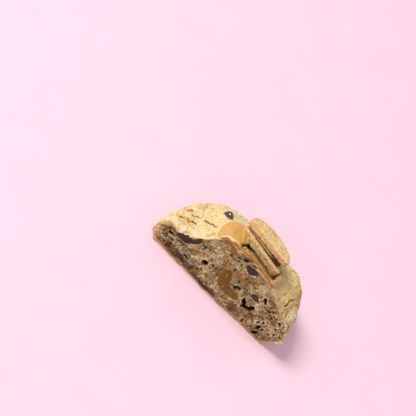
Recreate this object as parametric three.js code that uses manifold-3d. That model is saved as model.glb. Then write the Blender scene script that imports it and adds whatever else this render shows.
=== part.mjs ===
// Half of a thick bakery cookie, cut down the middle, with caramelised-biscuit spread and half of
// a sandwich biscuit on top. The flat base lies on z = 0, the cut face looks along -Y and the
// domed crust faces +Y. All sizes are millimetres.
import * as THREE from 'three';
import { mergeVertices } from 'three/addons/utils/BufferGeometryUtils.js';
import Module from 'manifold-3d';

const wasm = await Module();
wasm.setup();

// ---------------------------------------------------------------- driving sizes
const COOKIE_RADIUS = 53; // widest, a little above the base
const COOKIE_HEIGHT = 43.4; // dough at the middle of the cut
const CLEARANCE = 0.3; // between pieces that touch
const CRUMB_RELIEF = 0.45; // roughness of the cut face
const CRUST_RELIEF = 0.55; // roughness of the baked crust
const SPREAD_THICKNESS = 1.5;
const SPREAD_CENTRE = [2.5, 9];
const SPREAD_REACH = [24.6, 17]; // half length along the cut, and reach to the back
const WAFER_RADIUS = 17.8; // half the length of a wafer's cut edge
const WAFER_DEPTH = 15; // from the cut edge to the back
const LOWER_WAFER_THICKNESS = 5.2;
const UPPER_WAFER_THICKNESS = 4.3;
const UPPER_WAFER_TAPER = 0.006; // share of its thickness lost per millimetre towards the right
const CREAM_RECESS = 1.8; // how far the cream stays inside the wafers' edge

const LATHE_SEGMENTS = 76;
const PROFILE_STEPS = 28;
const CUT_COLUMNS = 46;
const CUT_ROWS = 22;

// The cookie's profile from the top of the dome to the rim of the flat base, as shares of its
// radius and height.
const PROFILE = [
  [0, 1], [0.15, 0.998], [0.29, 0.985], [0.42, 0.957], [0.54, 0.905], [0.66, 0.83], [0.77, 0.745],
  [0.865, 0.65], [0.94, 0.53], [0.985, 0.39], [1, 0.26], [0.985, 0.13], [0.945, 0.04], [0.88, 0],
];

// Broad swells and hollows of the baked dome: place, half widths along x and y, and rise.
const SWELLS = [
  { x: -34, y: -3, wide: 14, deep: 13, rise: -16.3 }, // crust pressed in above the big chocolate
  { x: -17, y: 13, wide: 14, deep: 12, rise: 2.2 }, // shoulder under the spread's left edge
  { x: 8, y: 15, wide: 18, deep: 9, rise: -1.8 }, // seat of the biscuit
  { x: 2, y: 33, wide: 20, deep: 12, rise: -3 }, // hollow behind the biscuit
  { x: 36, y: 26, wide: 13, deep: 13, rise: 4 }, // rear right mound
  { x: -42, y: 20, wide: 11, deep: 12, rise: 3 }, // rear left mound
  { x: -28, y: 30, wide: 12, deep: 10, rise: 2.4 }, // mound behind the notch
  { x: -37, y: 23, wide: 3, deep: 9, rise: -2.2 }, // notch between the two mounds
  { x: 37, y: 0, wide: 10, deep: 8, rise: -3 }, // crumbled right shoulder
  { x: 3, y: 0, wide: 9.5, deep: 2.2, rise: 2.1 }, // dough standing up behind the spread's lip
];

// Cracks and pits of the crust: place, direction in degrees, half length, half width, depth.
const CRACKS = [
  { x: -29.5, y: 9.6, turn: -3, length: 6, width: 0.9, depth: 2.4 },
  { x: -37, y: 6, turn: 10, length: 3, width: 0.8, depth: 2 },
  { x: -44, y: 11.2, turn: 20, length: 2.2, width: 1.3, depth: 2.2 },
  { x: -44, y: 5.2, turn: 5, length: 1.6, width: 1, depth: 1.6 },
  { x: 40.5, y: 6.8, turn: -25, length: 5.5, width: 0.9, depth: 2.6 },
  { x: 31, y: 33, turn: 35, length: 6, width: 0.9, depth: 2.2 },
  { x: -6, y: 43.5, turn: 5, length: 7, width: 1, depth: 2.4 },
  { x: -33, y: 35, turn: -45, length: 4.5, width: 0.9, depth: 2 },
];

// Air holes of the crumb on the cut face: place, half sizes, turn in degrees and depth.
const AIR_HOLES = [
  { x: -41.6, z: 13.6, wide: 1.5, high: 1.9, turn: 20, depth: 3.6 },
  { x: -40.2, z: 10.6, wide: 1.3, high: 1.5, turn: 0, depth: 3 },
  { x: -25.9, z: 8.7, wide: 1.2, high: 1.6, turn: 35, depth: 3 },
  { x: -15.4, z: 15.9, wide: 2.1, high: 1.8, turn: 0, depth: 3.6 },
  { x: 6.4, z: 19.4, wide: 2.2, high: 1.2, turn: -10, depth: 3.4 },
  { x: 9.8, z: 20.2, wide: 2, high: 1.4, turn: 8, depth: 3.4 },
  { x: 19, z: 15.9, wide: 1.5, high: 2.8, turn: -26, depth: 4.6 },
  { x: 22.2, z: 13.4, wide: 3, high: 1.6, turn: -22, depth: 4.6 },
  { x: 25.3, z: 16.3, wide: 1.2, high: 2.4, turn: 8, depth: 3.6 },
  { x: 27.1, z: 29.3, wide: 1, high: 1.9, turn: -35, depth: 3.2 },
  { x: -2.1, z: 39, wide: 1.2, high: 0.7, turn: -20, depth: 2 },
  { x: 1.3, z: 40.4, wide: 1.5, high: 0.9, turn: -15, depth: 2.4 },
  { x: 0.5, z: 30.4, wide: 0.9, high: 0.9, turn: 0, depth: 2 },
  { x: 35, z: 12.6, wide: 1.4, high: 0.9, turn: 15, depth: 2.4 },
  { x: 37.6, z: 9.4, wide: 1.2, high: 0.9, turn: -20, depth: 2.2 },
  { x: -7.3, z: 6.1, wide: 0.8, high: 1, turn: 0, depth: 1.8 },
  { x: 44, z: 22.4, wide: 0.9, high: 0.9, turn: 0, depth: 1.8 },
];

// Pieces in the dough that the cut shows: corners in the plane of the cut, and depth behind it.
const INCLUSIONS = [
  {
    name: 'choc_chunk_left', depth: 8, colour: 'chocolate',
    corners: [
      [-40.2, 18.8], [-38.4, 20.3], [-34.8, 21.3], [-31.6, 22.7], [-29.2, 24.6], [-27.2, 28],
      [-25.6, 27.8], [-25.2, 26.2], [-26.8, 22.4], [-29.2, 19.4], [-31.4, 17.2], [-34.4, 16.2],
      [-37.6, 16.4],
    ],
  },
  {
    name: 'choc_chunk_upper', depth: 7, colour: 'chocolate',
    corners: [
      [3.8, 38.3], [4.6, 40.3], [8, 41], [12, 41.4], [12.8, 40], [12, 37.7], [9.6, 36.4],
      [6.2, 36.4],
    ],
  },
  {
    name: 'choc_chunk_middle', depth: 5, colour: 'chocolate',
    corners: [
      [18.6, 24.4], [19.6, 27], [22.1, 27.5], [24.6, 25.6], [24.9, 23.2], [22.8, 22.2],
      [20.2, 22.8],
    ],
  },
  {
    name: 'choc_chunk_lower', depth: 5, colour: 'chocolate',
    corners: [
      [-33.4, 6], [-31, 7.4], [-28.6, 7], [-26.6, 5.8], [-23.8, 5], [-24.6, 3], [-29.4, 2.9],
    ],
  },
  {
    name: 'choc_streak_base', depth: 4, colour: 'chocolate',
    corners: [
      [-12.6, 2.8], [-11, 3.9], [-7, 3.7], [-3, 3.4], [1.6, 2.2], [-1.6, 1.2], [-5, 1], [-9.4, 1.4],
    ],
  },
  {
    name: 'caramel_bit', depth: 4, colour: 'caramel',
    corners: [
      [27.9, 30.8], [28.4, 32.4], [29.8, 33.3], [32.4, 32.8], [34.8, 32], [35.4, 30.6],
      [34.6, 29.6], [32.2, 29.4], [30, 29.6],
    ],
  },
];

// Smooth pocket of filling in the middle of the cut: outline through these places.
const CORE_OUTLINE = [
  [-4.6, 20.6], [-4.6, 24.6], [-2.2, 27.2], [0.4, 27.2], [2.6, 24], [4.4, 20.4], [7, 17.4],
  [13.6, 17.4], [15.8, 15], [14.6, 11.4], [10.6, 10.2], [6, 9.8], [1.6, 9.8], [-2, 12],
  [-3.9, 16.2],
];
const CORE_DEPTH = 9;

// ---------------------------------------------------------------- finishes
const FINISHES = {
  dough: new THREE.MeshStandardMaterial({ color: 0xd9ad6c, roughness: 0.85, metalness: 0 }),
  spread: new THREE.MeshStandardMaterial({ color: 0xc98a3e, roughness: 0.25, metalness: 0 }),
  filling: new THREE.MeshStandardMaterial({ color: 0x8a5a28, roughness: 0.5, metalness: 0 }),
  chocolate: new THREE.MeshStandardMaterial({ color: 0x3d2620, roughness: 0.45, metalness: 0 }),
  caramel: new THREE.MeshStandardMaterial({ color: 0x8a4a22, roughness: 0.5, metalness: 0 }),
  biscuit: new THREE.MeshStandardMaterial({ color: 0xd9a766, roughness: 0.8, metalness: 0 }),
  cream: new THREE.MeshStandardMaterial({ color: 0xb4915e, roughness: 0.6, metalness: 0 }),
};

// ---------------------------------------------------------------- helpers
const radians = THREE.MathUtils.degToRad;

/** 0 below a, 1 above b, with a soft ramp between. */
function ramp(a, b, value) {
  return THREE.MathUtils.smoothstep(value, a, b);
}

/** Smooth bell over the plane, 1 at its centre. */
function bell(x, y, cx, cy, wide, deep) {
  return Math.exp(-(((x - cx) / wide) ** 2) - ((y - cy) / deep) ** 2);
}

/** Uneven ripple between about -1 and 1: four crossed waves with the given wavelength. */
function ripple(x, y, z, wavelength, shift) {
  const k = (2 * Math.PI) / wavelength;
  const a = Math.sin(k * (0.8 * x + 0.5 * y + 0.3 * z) + shift);
  const b = Math.sin(k * (-0.4 * x + 0.9 * y + 0.2 * z) * 1.27 + 2.1 * shift);
  const c = Math.sin(k * (0.3 * x - 0.6 * y + 0.8 * z) * 0.83 + 3.7 * shift);
  const d = Math.sin(k * (-0.7 * x - 0.2 * y + 0.9 * z) * 1.61 + 5.3 * shift);
  return (a + b + c + d) / 3;
}

/** Moves every vertex of a geometry by a function of its place. */
function reshape(geometry, move) {
  const places = geometry.attributes.position;
  const place = new THREE.Vector3();
  for (let i = 0; i < places.count; i += 1) {
    place.fromBufferAttribute(places, i);
    move(place);
    places.setXYZ(i, place.x, place.y, place.z);
  }
  return geometry;
}

/** Signed volume inside an indexed geometry, negative where its triangles face inward. */
function enclosedVolume(geometry) {
  const [a, b, c] = [new THREE.Vector3(), new THREE.Vector3(), new THREE.Vector3()];
  const index = geometry.index.array;
  let volume = 0;
  for (let i = 0; i < index.length; i += 3) {
    a.fromBufferAttribute(geometry.attributes.position, index[i]);
    b.fromBufferAttribute(geometry.attributes.position, index[i + 1]);
    c.fromBufferAttribute(geometry.attributes.position, index[i + 2]);
    volume += a.dot(b.cross(c)) / 6;
  }
  return volume;
}

/** A closed three.js geometry as a solid facing outward: vertices merged, empty triangles dropped. */
function toSolid(geometry) {
  const bare = geometry.clone();
  bare.deleteAttribute('normal');
  bare.deleteAttribute('uv');
  const merged = mergeVertices(bare, 1e-4);
  const inward = enclosedVolume(merged) < 0;
  const index = merged.index.array;
  const triangles = [];
  for (let i = 0; i < index.length; i += 3) {
    const [a, b, c] = [index[i], index[i + 1], index[i + 2]];
    if (a !== b && b !== c && c !== a) {
      triangles.push(a, ...(inward ? [c, b] : [b, c]));
    }
  }
  return new wasm.Manifold(new wasm.Mesh({
    numProp: 3,
    vertProperties: new Float32Array(merged.attributes.position.array),
    triVerts: new Uint32Array(triangles),
  }));
}

/** The largest piece of a solid, so that no loose scrap stays beside it. */
function mainPiece(solid) {
  const pieces = solid.decompose();
  pieces.sort((a, b) => b.volume() - a.volume());
  return pieces[0];
}

/** A named mesh from a solid. */
function toMesh(name, solid, finish) {
  const { vertProperties, triVerts } = mainPiece(solid).getMesh();
  const geometry = new THREE.BufferGeometry();
  geometry.setAttribute('position', new THREE.BufferAttribute(new Float32Array(vertProperties), 3));
  geometry.setIndex(new THREE.BufferAttribute(new Uint32Array(triVerts), 1));
  geometry.computeVertexNormals();
  const mesh = new THREE.Mesh(geometry, finish);
  mesh.name = name;
  return mesh;
}

// ---------------------------------------------------------------- the dome
/** How much fuller the cookie is at this angle than a circle: it bulges at the rear right. */
function fullness(angle) {
  const right = 0.062 * Math.exp(-(((angle - 0.66) / 0.45) ** 2)) * ramp(0, 0.3, angle);
  const left = 0.02 * Math.exp(-(((angle - 2.2) / 0.5) ** 2));
  return 1 + right + left;
}

/** Rise of the broad swells over a place of the dome. */
function swell(x, y) {
  return SWELLS.reduce((sum, s) => sum + s.rise * bell(x, y, s.x, s.y, s.wide, s.deep), 0);
}

/** The profile as a smooth curve of [radius, height] in millimetres. */
const profileCurve = new THREE.SplineCurve(
  PROFILE.map(([r, h]) => new THREE.Vector2(r * COOKIE_RADIUS, h * COOKIE_HEIGHT)),
);

const profileSamples = profileCurve.getPoints(PROFILE_STEPS * 4);

/** Height of the dome above a place, by stepping along the profile to that distance. */
function domeHeight(x, y) {
  const reach = Math.hypot(x, y) / fullness(Math.atan2(y, x));
  let height = 0;
  for (let i = 1; i < profileSamples.length; i += 1) {
    const [inner, outer] = [profileSamples[i - 1], profileSamples[i]];
    if (outer.x >= reach) {
      const share = (reach - inner.x) / (outer.x - inner.x);
      height = inner.y + share * (outer.y - inner.y);
      break;
    }
  }
  return height + swell(x, y) * ramp(8, 24, height);
}

/** How bare the crust is at a place: 0 under the spread and the biscuit, 1 well outside. */
function bareCrust(x, y) {
  const along = (x - SPREAD_CENTRE[0]) / SPREAD_REACH[0];
  const back = (y - SPREAD_CENTRE[1]) / SPREAD_REACH[1];
  return ramp(1.02, 1.25, Math.hypot(along, back));
}

/** The whole baked cookie: a turned profile, pushed out of round and roughened. */
function wholeCookie() {
  const profile = profileCurve.getPoints(PROFILE_STEPS);
  profile[0].x = 0;
  const baseRim = profile[profile.length - 1];
  profile.push(new THREE.Vector2(baseRim.x / 2, 0), new THREE.Vector2(0, 0));
  const turned = new THREE.LatheGeometry(profile, LATHE_SEGMENTS);
  turned.rotateX(Math.PI / 2);
  return toSolid(reshape(turned, (p) => {
    const full = fullness(Math.abs(Math.atan2(p.y, p.x)));
    p.x *= full;
    p.y *= full;
    const top = ramp(8, 24, p.z);
    const rough = CRUST_RELIEF * ramp(2, 8, p.z) * bareCrust(p.x, p.y);
    const bumps = ripple(p.x, p.y, p.z, 17, 1.3) + 0.7 * ripple(p.x, p.y, p.z, 8.5, 0.4);
    const stretch = 1 + (rough * bumps) / COOKIE_RADIUS;
    p.x *= stretch;
    p.y *= stretch;
    p.z += swell(p.x, p.y) * top + rough * bumps * top;
  }));
}

/** A crack or pit: a long boat-shaped tool sunk in the crust. */
function crackTool({ x, y, turn, length, width, depth }) {
  const tool = new THREE.SphereGeometry(1, 8, 6);
  tool.scale(length, width, depth);
  tool.rotateZ(radians(turn));
  tool.translate(x, y, domeHeight(x, y) + 0.25);
  return toSolid(tool);
}

// ---------------------------------------------------------------- the cut
/** Depth of the cut face behind y = 0 at a place on it: uneven crumb, with a fuller lower edge. */
function cutDepth(x, z) {
  const belly = -1.5 * bell(x, z, -1, 0, 26, 12);
  const crumb = ripple(x, 0, z, 11, 0.9) + 0.9 * ripple(x, 3, z, 5.6, 2.2);
  return belly + CRUMB_RELIEF * crumb;
}

/** The knife: a block in front of the cut whose near face has the relief of the crumb. */
function knife(relief, setBack) {
  const [width, thickness, height] = [130, 60, 64];
  const block = new THREE.BoxGeometry(width, thickness, height, CUT_COLUMNS, 1, CUT_ROWS);
  block.translate(0, -thickness / 2, height / 2 - 4);
  return toSolid(reshape(block, (p) => {
    if (p.y > -1) {
      p.y = setBack + relief * cutDepth(p.x, p.z);
    }
  }));
}

/** An air hole: a dented ball sunk in the cut face. */
function holeTool({ x, z, wide, high, turn, depth }) {
  const tool = new THREE.IcosahedronGeometry(1, 1);
  reshape(tool, (p) => {
    p.multiplyScalar(1 + 0.22 * ripple(p.x, p.y, p.z, 1.6, x));
  });
  tool.scale(wide, depth, high);
  tool.rotateY(radians(turn));
  tool.translate(x, cutDepth(x, z), z);
  return toSolid(tool);
}

// ---------------------------------------------------------------- what lies in the dough
/** A slab with the given outline in the plane of the cut, from in front of it to its depth. */
function slabBehindCut(outline, depth, edge, grow) {
  const front = 4;
  const slab = new THREE.ExtrudeGeometry(outline, {
    depth: depth + front - edge,
    steps: 1,
    curveSegments: 5,
    bevelEnabled: true,
    bevelThickness: edge + grow,
    bevelSize: edge,
    bevelOffset: grow - edge,
    bevelSegments: edge > 1 ? 3 : 1,
  });
  slab.rotateX(Math.PI / 2);
  slab.scale(1, -1, 1);
  return slab.translate(0, -front, 0);
}

/** An inclusion with flat sides, as a solid, grown by a clearance where a pocket is wanted. */
function inclusionSolid({ corners, depth }, grow) {
  const outline = new THREE.Shape(corners.map(([x, z]) => new THREE.Vector2(x, z)));
  return toSolid(slabBehindCut(outline, depth, 0.5, grow));
}

/** The pocket of filling, with round edges behind the cut. */
function coreSolid(grow) {
  const corners = [...CORE_OUTLINE, CORE_OUTLINE[0]].map(([x, z]) => new THREE.Vector2(x, z));
  const curve = new THREE.SplineCurve(corners);
  const outline = new THREE.Shape(curve.getPoints(26).slice(0, -1));
  return toSolid(slabBehindCut(outline, CORE_DEPTH, 1.2, grow));
}

// ---------------------------------------------------------------- the chip on the crust
const CHIP = { x: -24.9, y: 20.9, radius: 3.2, height: 4.2, sunk: 1.6 };

/** A chocolate chip: a turned drop with a soft tip, sunk in the crust and leaning with it. */
function chipSolid(grow) {
  const { x, y, radius, height, sunk } = CHIP;
  const profile = [
    new THREE.Vector2(0, -sunk - grow),
    new THREE.Vector2(radius * 0.7 + grow, -sunk - grow),
    new THREE.Vector2(radius + grow, -sunk * 0.3),
    new THREE.Vector2(radius * 0.86 + grow, height * 0.22),
    new THREE.Vector2(radius * 0.5 + grow, height * 0.45),
    new THREE.Vector2(radius * 0.22 + grow, height * 0.56 + grow),
    new THREE.Vector2(0, height * 0.6 + grow),
  ];
  const drop = new THREE.LatheGeometry(profile, 14);
  drop.rotateX(Math.PI / 2);
  drop.rotateX(radians(-24));
  drop.rotateY(radians(-20));
  drop.translate(x, y, domeHeight(x, y));
  return toSolid(drop);
}

// ---------------------------------------------------------------- the spread
/** How thick the spread lies at a place: a heavy lobe at the left, a small one at the right. */
function spreadThickness(x, y) {
  const lobe = 2 * bell(x, y, -12, 0, 8, 9);
  const rightLobe = 1.2 * bell(x, y, 25, 3, 5, 6);
  return SPREAD_THICKNESS + lobe + rightLobe + 0.25 * ripple(x, y, 0, 13, 0.7);
}

/** Reach of the spread around its centre, as a share of its half sizes. */
function spreadOutline(angle) {
  const ends = 0.04 * Math.cos(2 * angle) - 0.01 * Math.cos(angle);
  const backRight = -0.07 * Math.exp(-(((angle - 0.65) / 0.35) ** 2));
  return 1 + ends + backRight + 0.012 * Math.sin(9 * angle);
}

/** The spread: a flat cushion with a round edge, laid on the dome and cut off with it. */
function spreadSolid(cutters) {
  const edgeShape = 0.42;
  const cushion = new THREE.SphereGeometry(1, 44, 12);
  cushion.rotateX(Math.PI / 2);
  reshape(cushion, (p) => {
    const angle = Math.atan2(p.y, p.x);
    const flat = Math.min(1, Math.hypot(p.x, p.y)) ** (2 * edgeShape);
    const lift = Math.max(0, p.z) ** (2 * edgeShape);
    const reach = flat * spreadOutline(angle);
    p.x = SPREAD_CENTRE[0] + SPREAD_REACH[0] * reach * Math.cos(angle);
    p.y = SPREAD_CENTRE[1] + SPREAD_REACH[1] * reach * Math.sin(angle);
    const ground = domeHeight(p.x, Math.max(p.y, 0)) + CLEARANCE;
    p.z = ground + spreadThickness(p.x, p.y) * lift;
  });
  return cutters.reduce((solid, cutter) => solid.subtract(cutter), toSolid(cushion));
}

// ---------------------------------------------------------------- the sandwich biscuit
/** Axes of a tilted wafer: along its cut edge, to its back, and up. Angles in degrees. */
function waferFrame({ place, yaw, fall, lean }) {
  const along = new THREE.Vector3(
    Math.cos(radians(yaw)) * Math.cos(radians(fall)),
    -Math.sin(radians(yaw)) * Math.cos(radians(fall)),
    -Math.sin(radians(fall)),
  );
  const back = new THREE.Vector3(
    Math.sin(radians(yaw)) * Math.cos(radians(lean)),
    Math.cos(radians(yaw)) * Math.cos(radians(lean)),
    -Math.sin(radians(lean)),
  );
  back.addScaledVector(along, -back.dot(along)).normalize();
  const up = new THREE.Vector3().crossVectors(along, back);
  return new THREE.Matrix4().makeBasis(along, back, up).setPosition(...place);
}

const LOWER_WAFER = waferFrame({ place: [3.2, 10.3, 42], yaw: 9, fall: 6.2, lean: 17 });
const UPPER_WAFER = waferFrame({ place: [3.4, 12.4, 50.5], yaw: 8, fall: 2, lean: 16.5 });

/** Half disc with soft corners, its cut edge along x with a slight belly. */
function halfDisc(radius, corner) {
  const inner = Math.sqrt((radius - corner) ** 2 - corner ** 2);
  const start = Math.atan2(corner, inner);
  const shape = new THREE.Shape();
  shape.moveTo(-inner, 0);
  shape.quadraticCurveTo(0, -0.9, inner, 0);
  shape.absarc(inner, corner, corner, -Math.PI / 2, start, false);
  shape.absarc(0, 0, radius, start, Math.PI - start, false);
  shape.absarc(-inner, corner, corner, Math.PI - start, 1.5 * Math.PI, false);
  return shape;
}

/** A wafer: an extruded half disc with soft edges, tapered, set in its frame and grown by a clearance. */
function waferSolid(frame, thickness, taper, grow) {
  const edge = 0.8;
  const wafer = new THREE.ExtrudeGeometry(halfDisc(WAFER_RADIUS, 2.2), {
    depth: thickness - 2 * edge,
    curveSegments: 7,
    bevelEnabled: true,
    bevelThickness: edge + grow,
    bevelSize: edge,
    bevelOffset: grow - edge,
    bevelSegments: 2,
  });
  wafer.translate(0, 0, edge);
  wafer.scale(1, WAFER_DEPTH / WAFER_RADIUS, 1);
  reshape(wafer, (p) => {
    p.z *= 1 - taper * p.x;
  });
  return toSolid(wafer.applyMatrix4(frame));
}

/** The cream: a wedge that fills the space between the wafers, short of their edge. */
function creamSolid() {
  const wedge = new THREE.ExtrudeGeometry(halfDisc(WAFER_RADIUS - CREAM_RECESS, 2.2), {
    depth: 1,
    curveSegments: 6,
    bevelEnabled: false,
  });
  return toSolid(reshape(wedge, (p) => {
    const along = p.x * (p.x > 0 ? 0.9 : 1);
    const back = (p.y * WAFER_DEPTH) / WAFER_RADIUS + CREAM_RECESS;
    const floor = new THREE.Vector3(along, back, LOWER_WAFER_THICKNESS + CLEARANCE);
    const roof = new THREE.Vector3(along, back, -CLEARANCE);
    p.lerpVectors(floor.applyMatrix4(LOWER_WAFER), roof.applyMatrix4(UPPER_WAFER), p.z);
  }));
}

// ---------------------------------------------------------------- assembly
const roughKnife = knife(1, 0);
const spreadKnife = knife(0.3, -0.7);

const lowerWafer = waferSolid(LOWER_WAFER, LOWER_WAFER_THICKNESS, 0, 0);
const upperWafer = waferSolid(UPPER_WAFER, UPPER_WAFER_THICKNESS, UPPER_WAFER_TAPER, 0);
const waferSeat = waferSolid(LOWER_WAFER, LOWER_WAFER_THICKNESS, 0, CLEARANCE);

let dough = wholeCookie().subtract(roughKnife);
for (const crack of CRACKS) {
  dough = dough.subtract(crackTool(crack));
}
for (const hole of AIR_HOLES) {
  dough = dough.subtract(holeTool(hole));
}
for (const inclusion of INCLUSIONS) {
  dough = dough.subtract(inclusionSolid(inclusion, CLEARANCE));
}
dough = dough.subtract(coreSolid(CLEARANCE)).subtract(chipSolid(CLEARANCE)).subtract(waferSeat);

const pieces = new THREE.Group();
pieces.add(toMesh('cookie_half', dough, FINISHES.dough));
for (const inclusion of INCLUSIONS) {
  const cut = inclusionSolid(inclusion, 0).subtract(roughKnife);
  pieces.add(toMesh(inclusion.name, cut, FINISHES[inclusion.colour]));
}
let core = coreSolid(0).subtract(roughKnife);
for (const hole of AIR_HOLES) {
  core = core.subtract(holeTool(hole));
}
pieces.add(toMesh('core_filling', core, FINISHES.filling));
pieces.add(toMesh('choc_chip_top', chipSolid(0), FINISHES.chocolate));
const spread = spreadSolid([spreadKnife, waferSeat, chipSolid(CLEARANCE)]);
pieces.add(toMesh('spread_top', spread, FINISHES.spread));
pieces.add(toMesh('biscuit_wafer_lower', lowerWafer, FINISHES.biscuit));
pieces.add(toMesh('biscuit_cream', creamSolid(), FINISHES.cream));
pieces.add(toMesh('biscuit_wafer_upper', upperWafer, FINISHES.biscuit));

// The part's origin is the middle of its bounding box, at the height of the base.
const bounds = new THREE.Box3().setFromObject(pieces, true);
const middle = bounds.getCenter(new THREE.Vector3());
pieces.position.set(-middle.x, -middle.y, -bounds.min.z);

const part = new THREE.Group();
part.add(pieces);
export default part;
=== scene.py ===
# %% [markdown]
# # Half of a speculoos cookie
# A thick bakery cookie, cut down the middle: a pale golden crust with cracks, a mottled crumb with
# chocolate and a pocket of filling on the cut, and on top a slick of caramelised-biscuit spread that
# holds half of a sandwich biscuit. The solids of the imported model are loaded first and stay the
# measure of everything: each new surface below is worked out inside one of them.

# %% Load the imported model
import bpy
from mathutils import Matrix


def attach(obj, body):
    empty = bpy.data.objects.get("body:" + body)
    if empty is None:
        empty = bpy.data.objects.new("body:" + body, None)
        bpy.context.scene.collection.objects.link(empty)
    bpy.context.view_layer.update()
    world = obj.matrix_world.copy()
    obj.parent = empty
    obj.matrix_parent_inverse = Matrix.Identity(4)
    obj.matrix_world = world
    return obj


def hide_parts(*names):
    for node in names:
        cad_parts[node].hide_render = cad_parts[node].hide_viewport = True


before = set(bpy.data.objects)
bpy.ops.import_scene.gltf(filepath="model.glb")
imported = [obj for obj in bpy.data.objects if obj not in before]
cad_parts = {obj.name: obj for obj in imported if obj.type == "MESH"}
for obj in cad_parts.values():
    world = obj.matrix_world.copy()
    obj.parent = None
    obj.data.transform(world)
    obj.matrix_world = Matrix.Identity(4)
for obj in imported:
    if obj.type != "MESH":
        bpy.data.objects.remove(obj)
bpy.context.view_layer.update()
print("packed solids:", len(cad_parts))

# %% Places and sizes
import bpy
import numpy as np
from mathutils import Matrix, Vector

ORIGIN = np.array([0.136, -25.691, 0.0])  # row origin measured from the foot of the cut, millimetres
RADIUS, HEIGHT = 53.0, 43.4  # the dough: widest radius, and height at the middle of the cut


def to_row(places):
    """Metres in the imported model's frame: each place in millimetres plus the offset, over a thousand."""
    return (np.asarray(places, float) + ORIGIN) / 1000.0


print("cookie", 2 * RADIUS, "mm across,", HEIGHT, "mm thick")

# %% [markdown]
# ## The camera
# A cookie half on its base shows its cut as a half-moon with a level foot. The picture this one
# follows was taken with the half tipped on its edge. Tipping the cookie would take it off its base,
# so the camera is rolled about its own axis instead: to the lens the two are the same. A camera's
# frame is three directions, right, up and back, and those are the columns of its matrix.

# %% Camera
ELEVATION, ROLL = np.radians(41.0), np.radians(44.6)
DISTANCE, PIXEL = 700.0, 0.615  # millimetres to the cut, and millimetres per pixel there
FRAME = 416  # pixels along a side

back = np.array([0.0, -np.cos(ELEVATION), np.sin(ELEVATION)])
level = np.array([1.0, 0.0, 0.0])
steep = np.cross(back, level)
right = np.cos(ROLL) * level + np.sin(ROLL) * steep
up = -np.sin(ROLL) * level + np.cos(ROLL) * steep
middle_of_cut, seen_at = np.array([0.0, 0.0, 22.4]), (227.7, 275.0)
eye = middle_of_cut + back * DISTANCE
eye = eye - right * (seen_at[0] - FRAME / 2) * PIXEL - up * (FRAME / 2 - seen_at[1]) * PIXEL

camera = bpy.data.objects.new("camera", bpy.data.cameras.new("camera"))
camera.data.sensor_width = 36.0
camera.data.lens = DISTANCE / PIXEL * 36.0 / FRAME
camera.data.clip_start, camera.data.clip_end = 0.02, 20.0
turn = Matrix([[right[i], up[i], back[i]] for i in range(3)])
camera.matrix_world = Matrix.Translation(Vector(to_row(eye))) @ turn.to_4x4()
bpy.context.scene.collection.objects.link(camera)
bpy.context.scene.camera = camera
print("lens", round(camera.data.lens, 1), "mm, eye at", [round(v, 3) for v in to_row(eye)])

# %% [markdown]
# ## Uneven surfaces
# Baked dough has no two bumps alike, yet the scene must come out the same each time. So every
# unevenness is a function of place: smooth bells and ramps for the big forms, crossed waves for
# the ripples that the solids already have, a lattice of fixed random numbers for the fine grain,
# and a lattice of bowls for the pores. All of them take whole arrays of places at once.

# %% Fields over space


def ramp(low, high, value):
    """0 below low, 1 above high, and the soft curve 3t² − 2t³ between."""
    t = np.clip((value - low) / (high - low), 0, 1)
    return t * t * (3 - 2 * t)


def bell(x, y, cx, cy, wide, deep):
    """Exponential of minus the squared distance, counted in widths: 1 at the centre."""
    return np.exp(-(((x - cx) / wide) ** 2) - ((y - cy) / deep) ** 2)


def ripple(x, y, z, wavelength, shift):
    """Sum of four sine waves that cross at odd angles, over three: about -1 to 1."""
    k = 2 * np.pi / wavelength
    waves = np.sin(k * (0.8 * x + 0.5 * y + 0.3 * z) + shift)
    waves = waves + np.sin(k * (-0.4 * x + 0.9 * y + 0.2 * z) * 1.27 + 2.1 * shift)
    waves = waves + np.sin(k * (0.3 * x - 0.6 * y + 0.8 * z) * 0.83 + 3.7 * shift)
    return (waves + np.sin(k * (-0.7 * x - 0.2 * y + 0.9 * z) * 1.61 + 5.3 * shift)) / 3


def fixed_random(i, j, k, seed):
    """A number from 0 to 1 tied to whole-number places: the fraction of a large sine."""
    big = np.sin(i * 127.1 + j * 311.7 + k * 74.7 + seed * 53.3) * 43758.5453
    return big - np.floor(big)


def grain(x, y, z, size, seed, octaves=3):
    """Random numbers on a cubic lattice, blended with soft weights: -1 to 1. Each further octave
    halves the lattice and the height."""
    total, whole, height = 0.0, 0.0, 1.0
    for octave in range(octaves):
        scaled = [c * 2**octave / size + 7.3 * seed + 3.1 * octave for c in (x, y, z)]
        cell = [np.floor(c) for c in scaled]
        part = [c - f for c, f in zip(scaled, cell)]
        part = [p * p * (3 - 2 * p) for p in part]
        value = 0.0
        for corner in np.ndindex(2, 2, 2):
            weight = 1.0
            for side, p in zip(corner, part):
                weight = weight * (p if side else 1 - p)
            value = value + weight * fixed_random(*[c + s for c, s in zip(cell, corner)], seed)
        total = total + height * (2 * value - 1)
        whole, height = whole + height, height / 2
    return total / whole


def pores(x, z, size, share, seed):
    """Bowls scattered over a plane: each square of the lattice may hold one, with its own centre,
    radius and flatness. The depth is the radius times the root of one minus the distance squared."""
    depth = 0.0 * x
    column, row = np.floor(x / size), np.floor(z / size)
    for i, j in np.ndindex(3, 3):
        c, r = column + i - 1, row + j - 1
        luck = [fixed_random(c, r, n, seed) for n in range(5)]
        radius = size * (0.14 + 0.3 * luck[2] ** 2)
        dx = (x - (c + 0.2 + 0.6 * luck[0]) * size) / radius
        dz = (z - (r + 0.2 + 0.6 * luck[1]) * size) / (radius * (0.55 + 0.6 * luck[4]))
        bowl = radius * np.sqrt(np.clip(1 - dx * dx - dz * dz, 0, 1))
        depth = np.maximum(depth, np.where(luck[3] < share, bowl, 0))
    return depth


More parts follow.
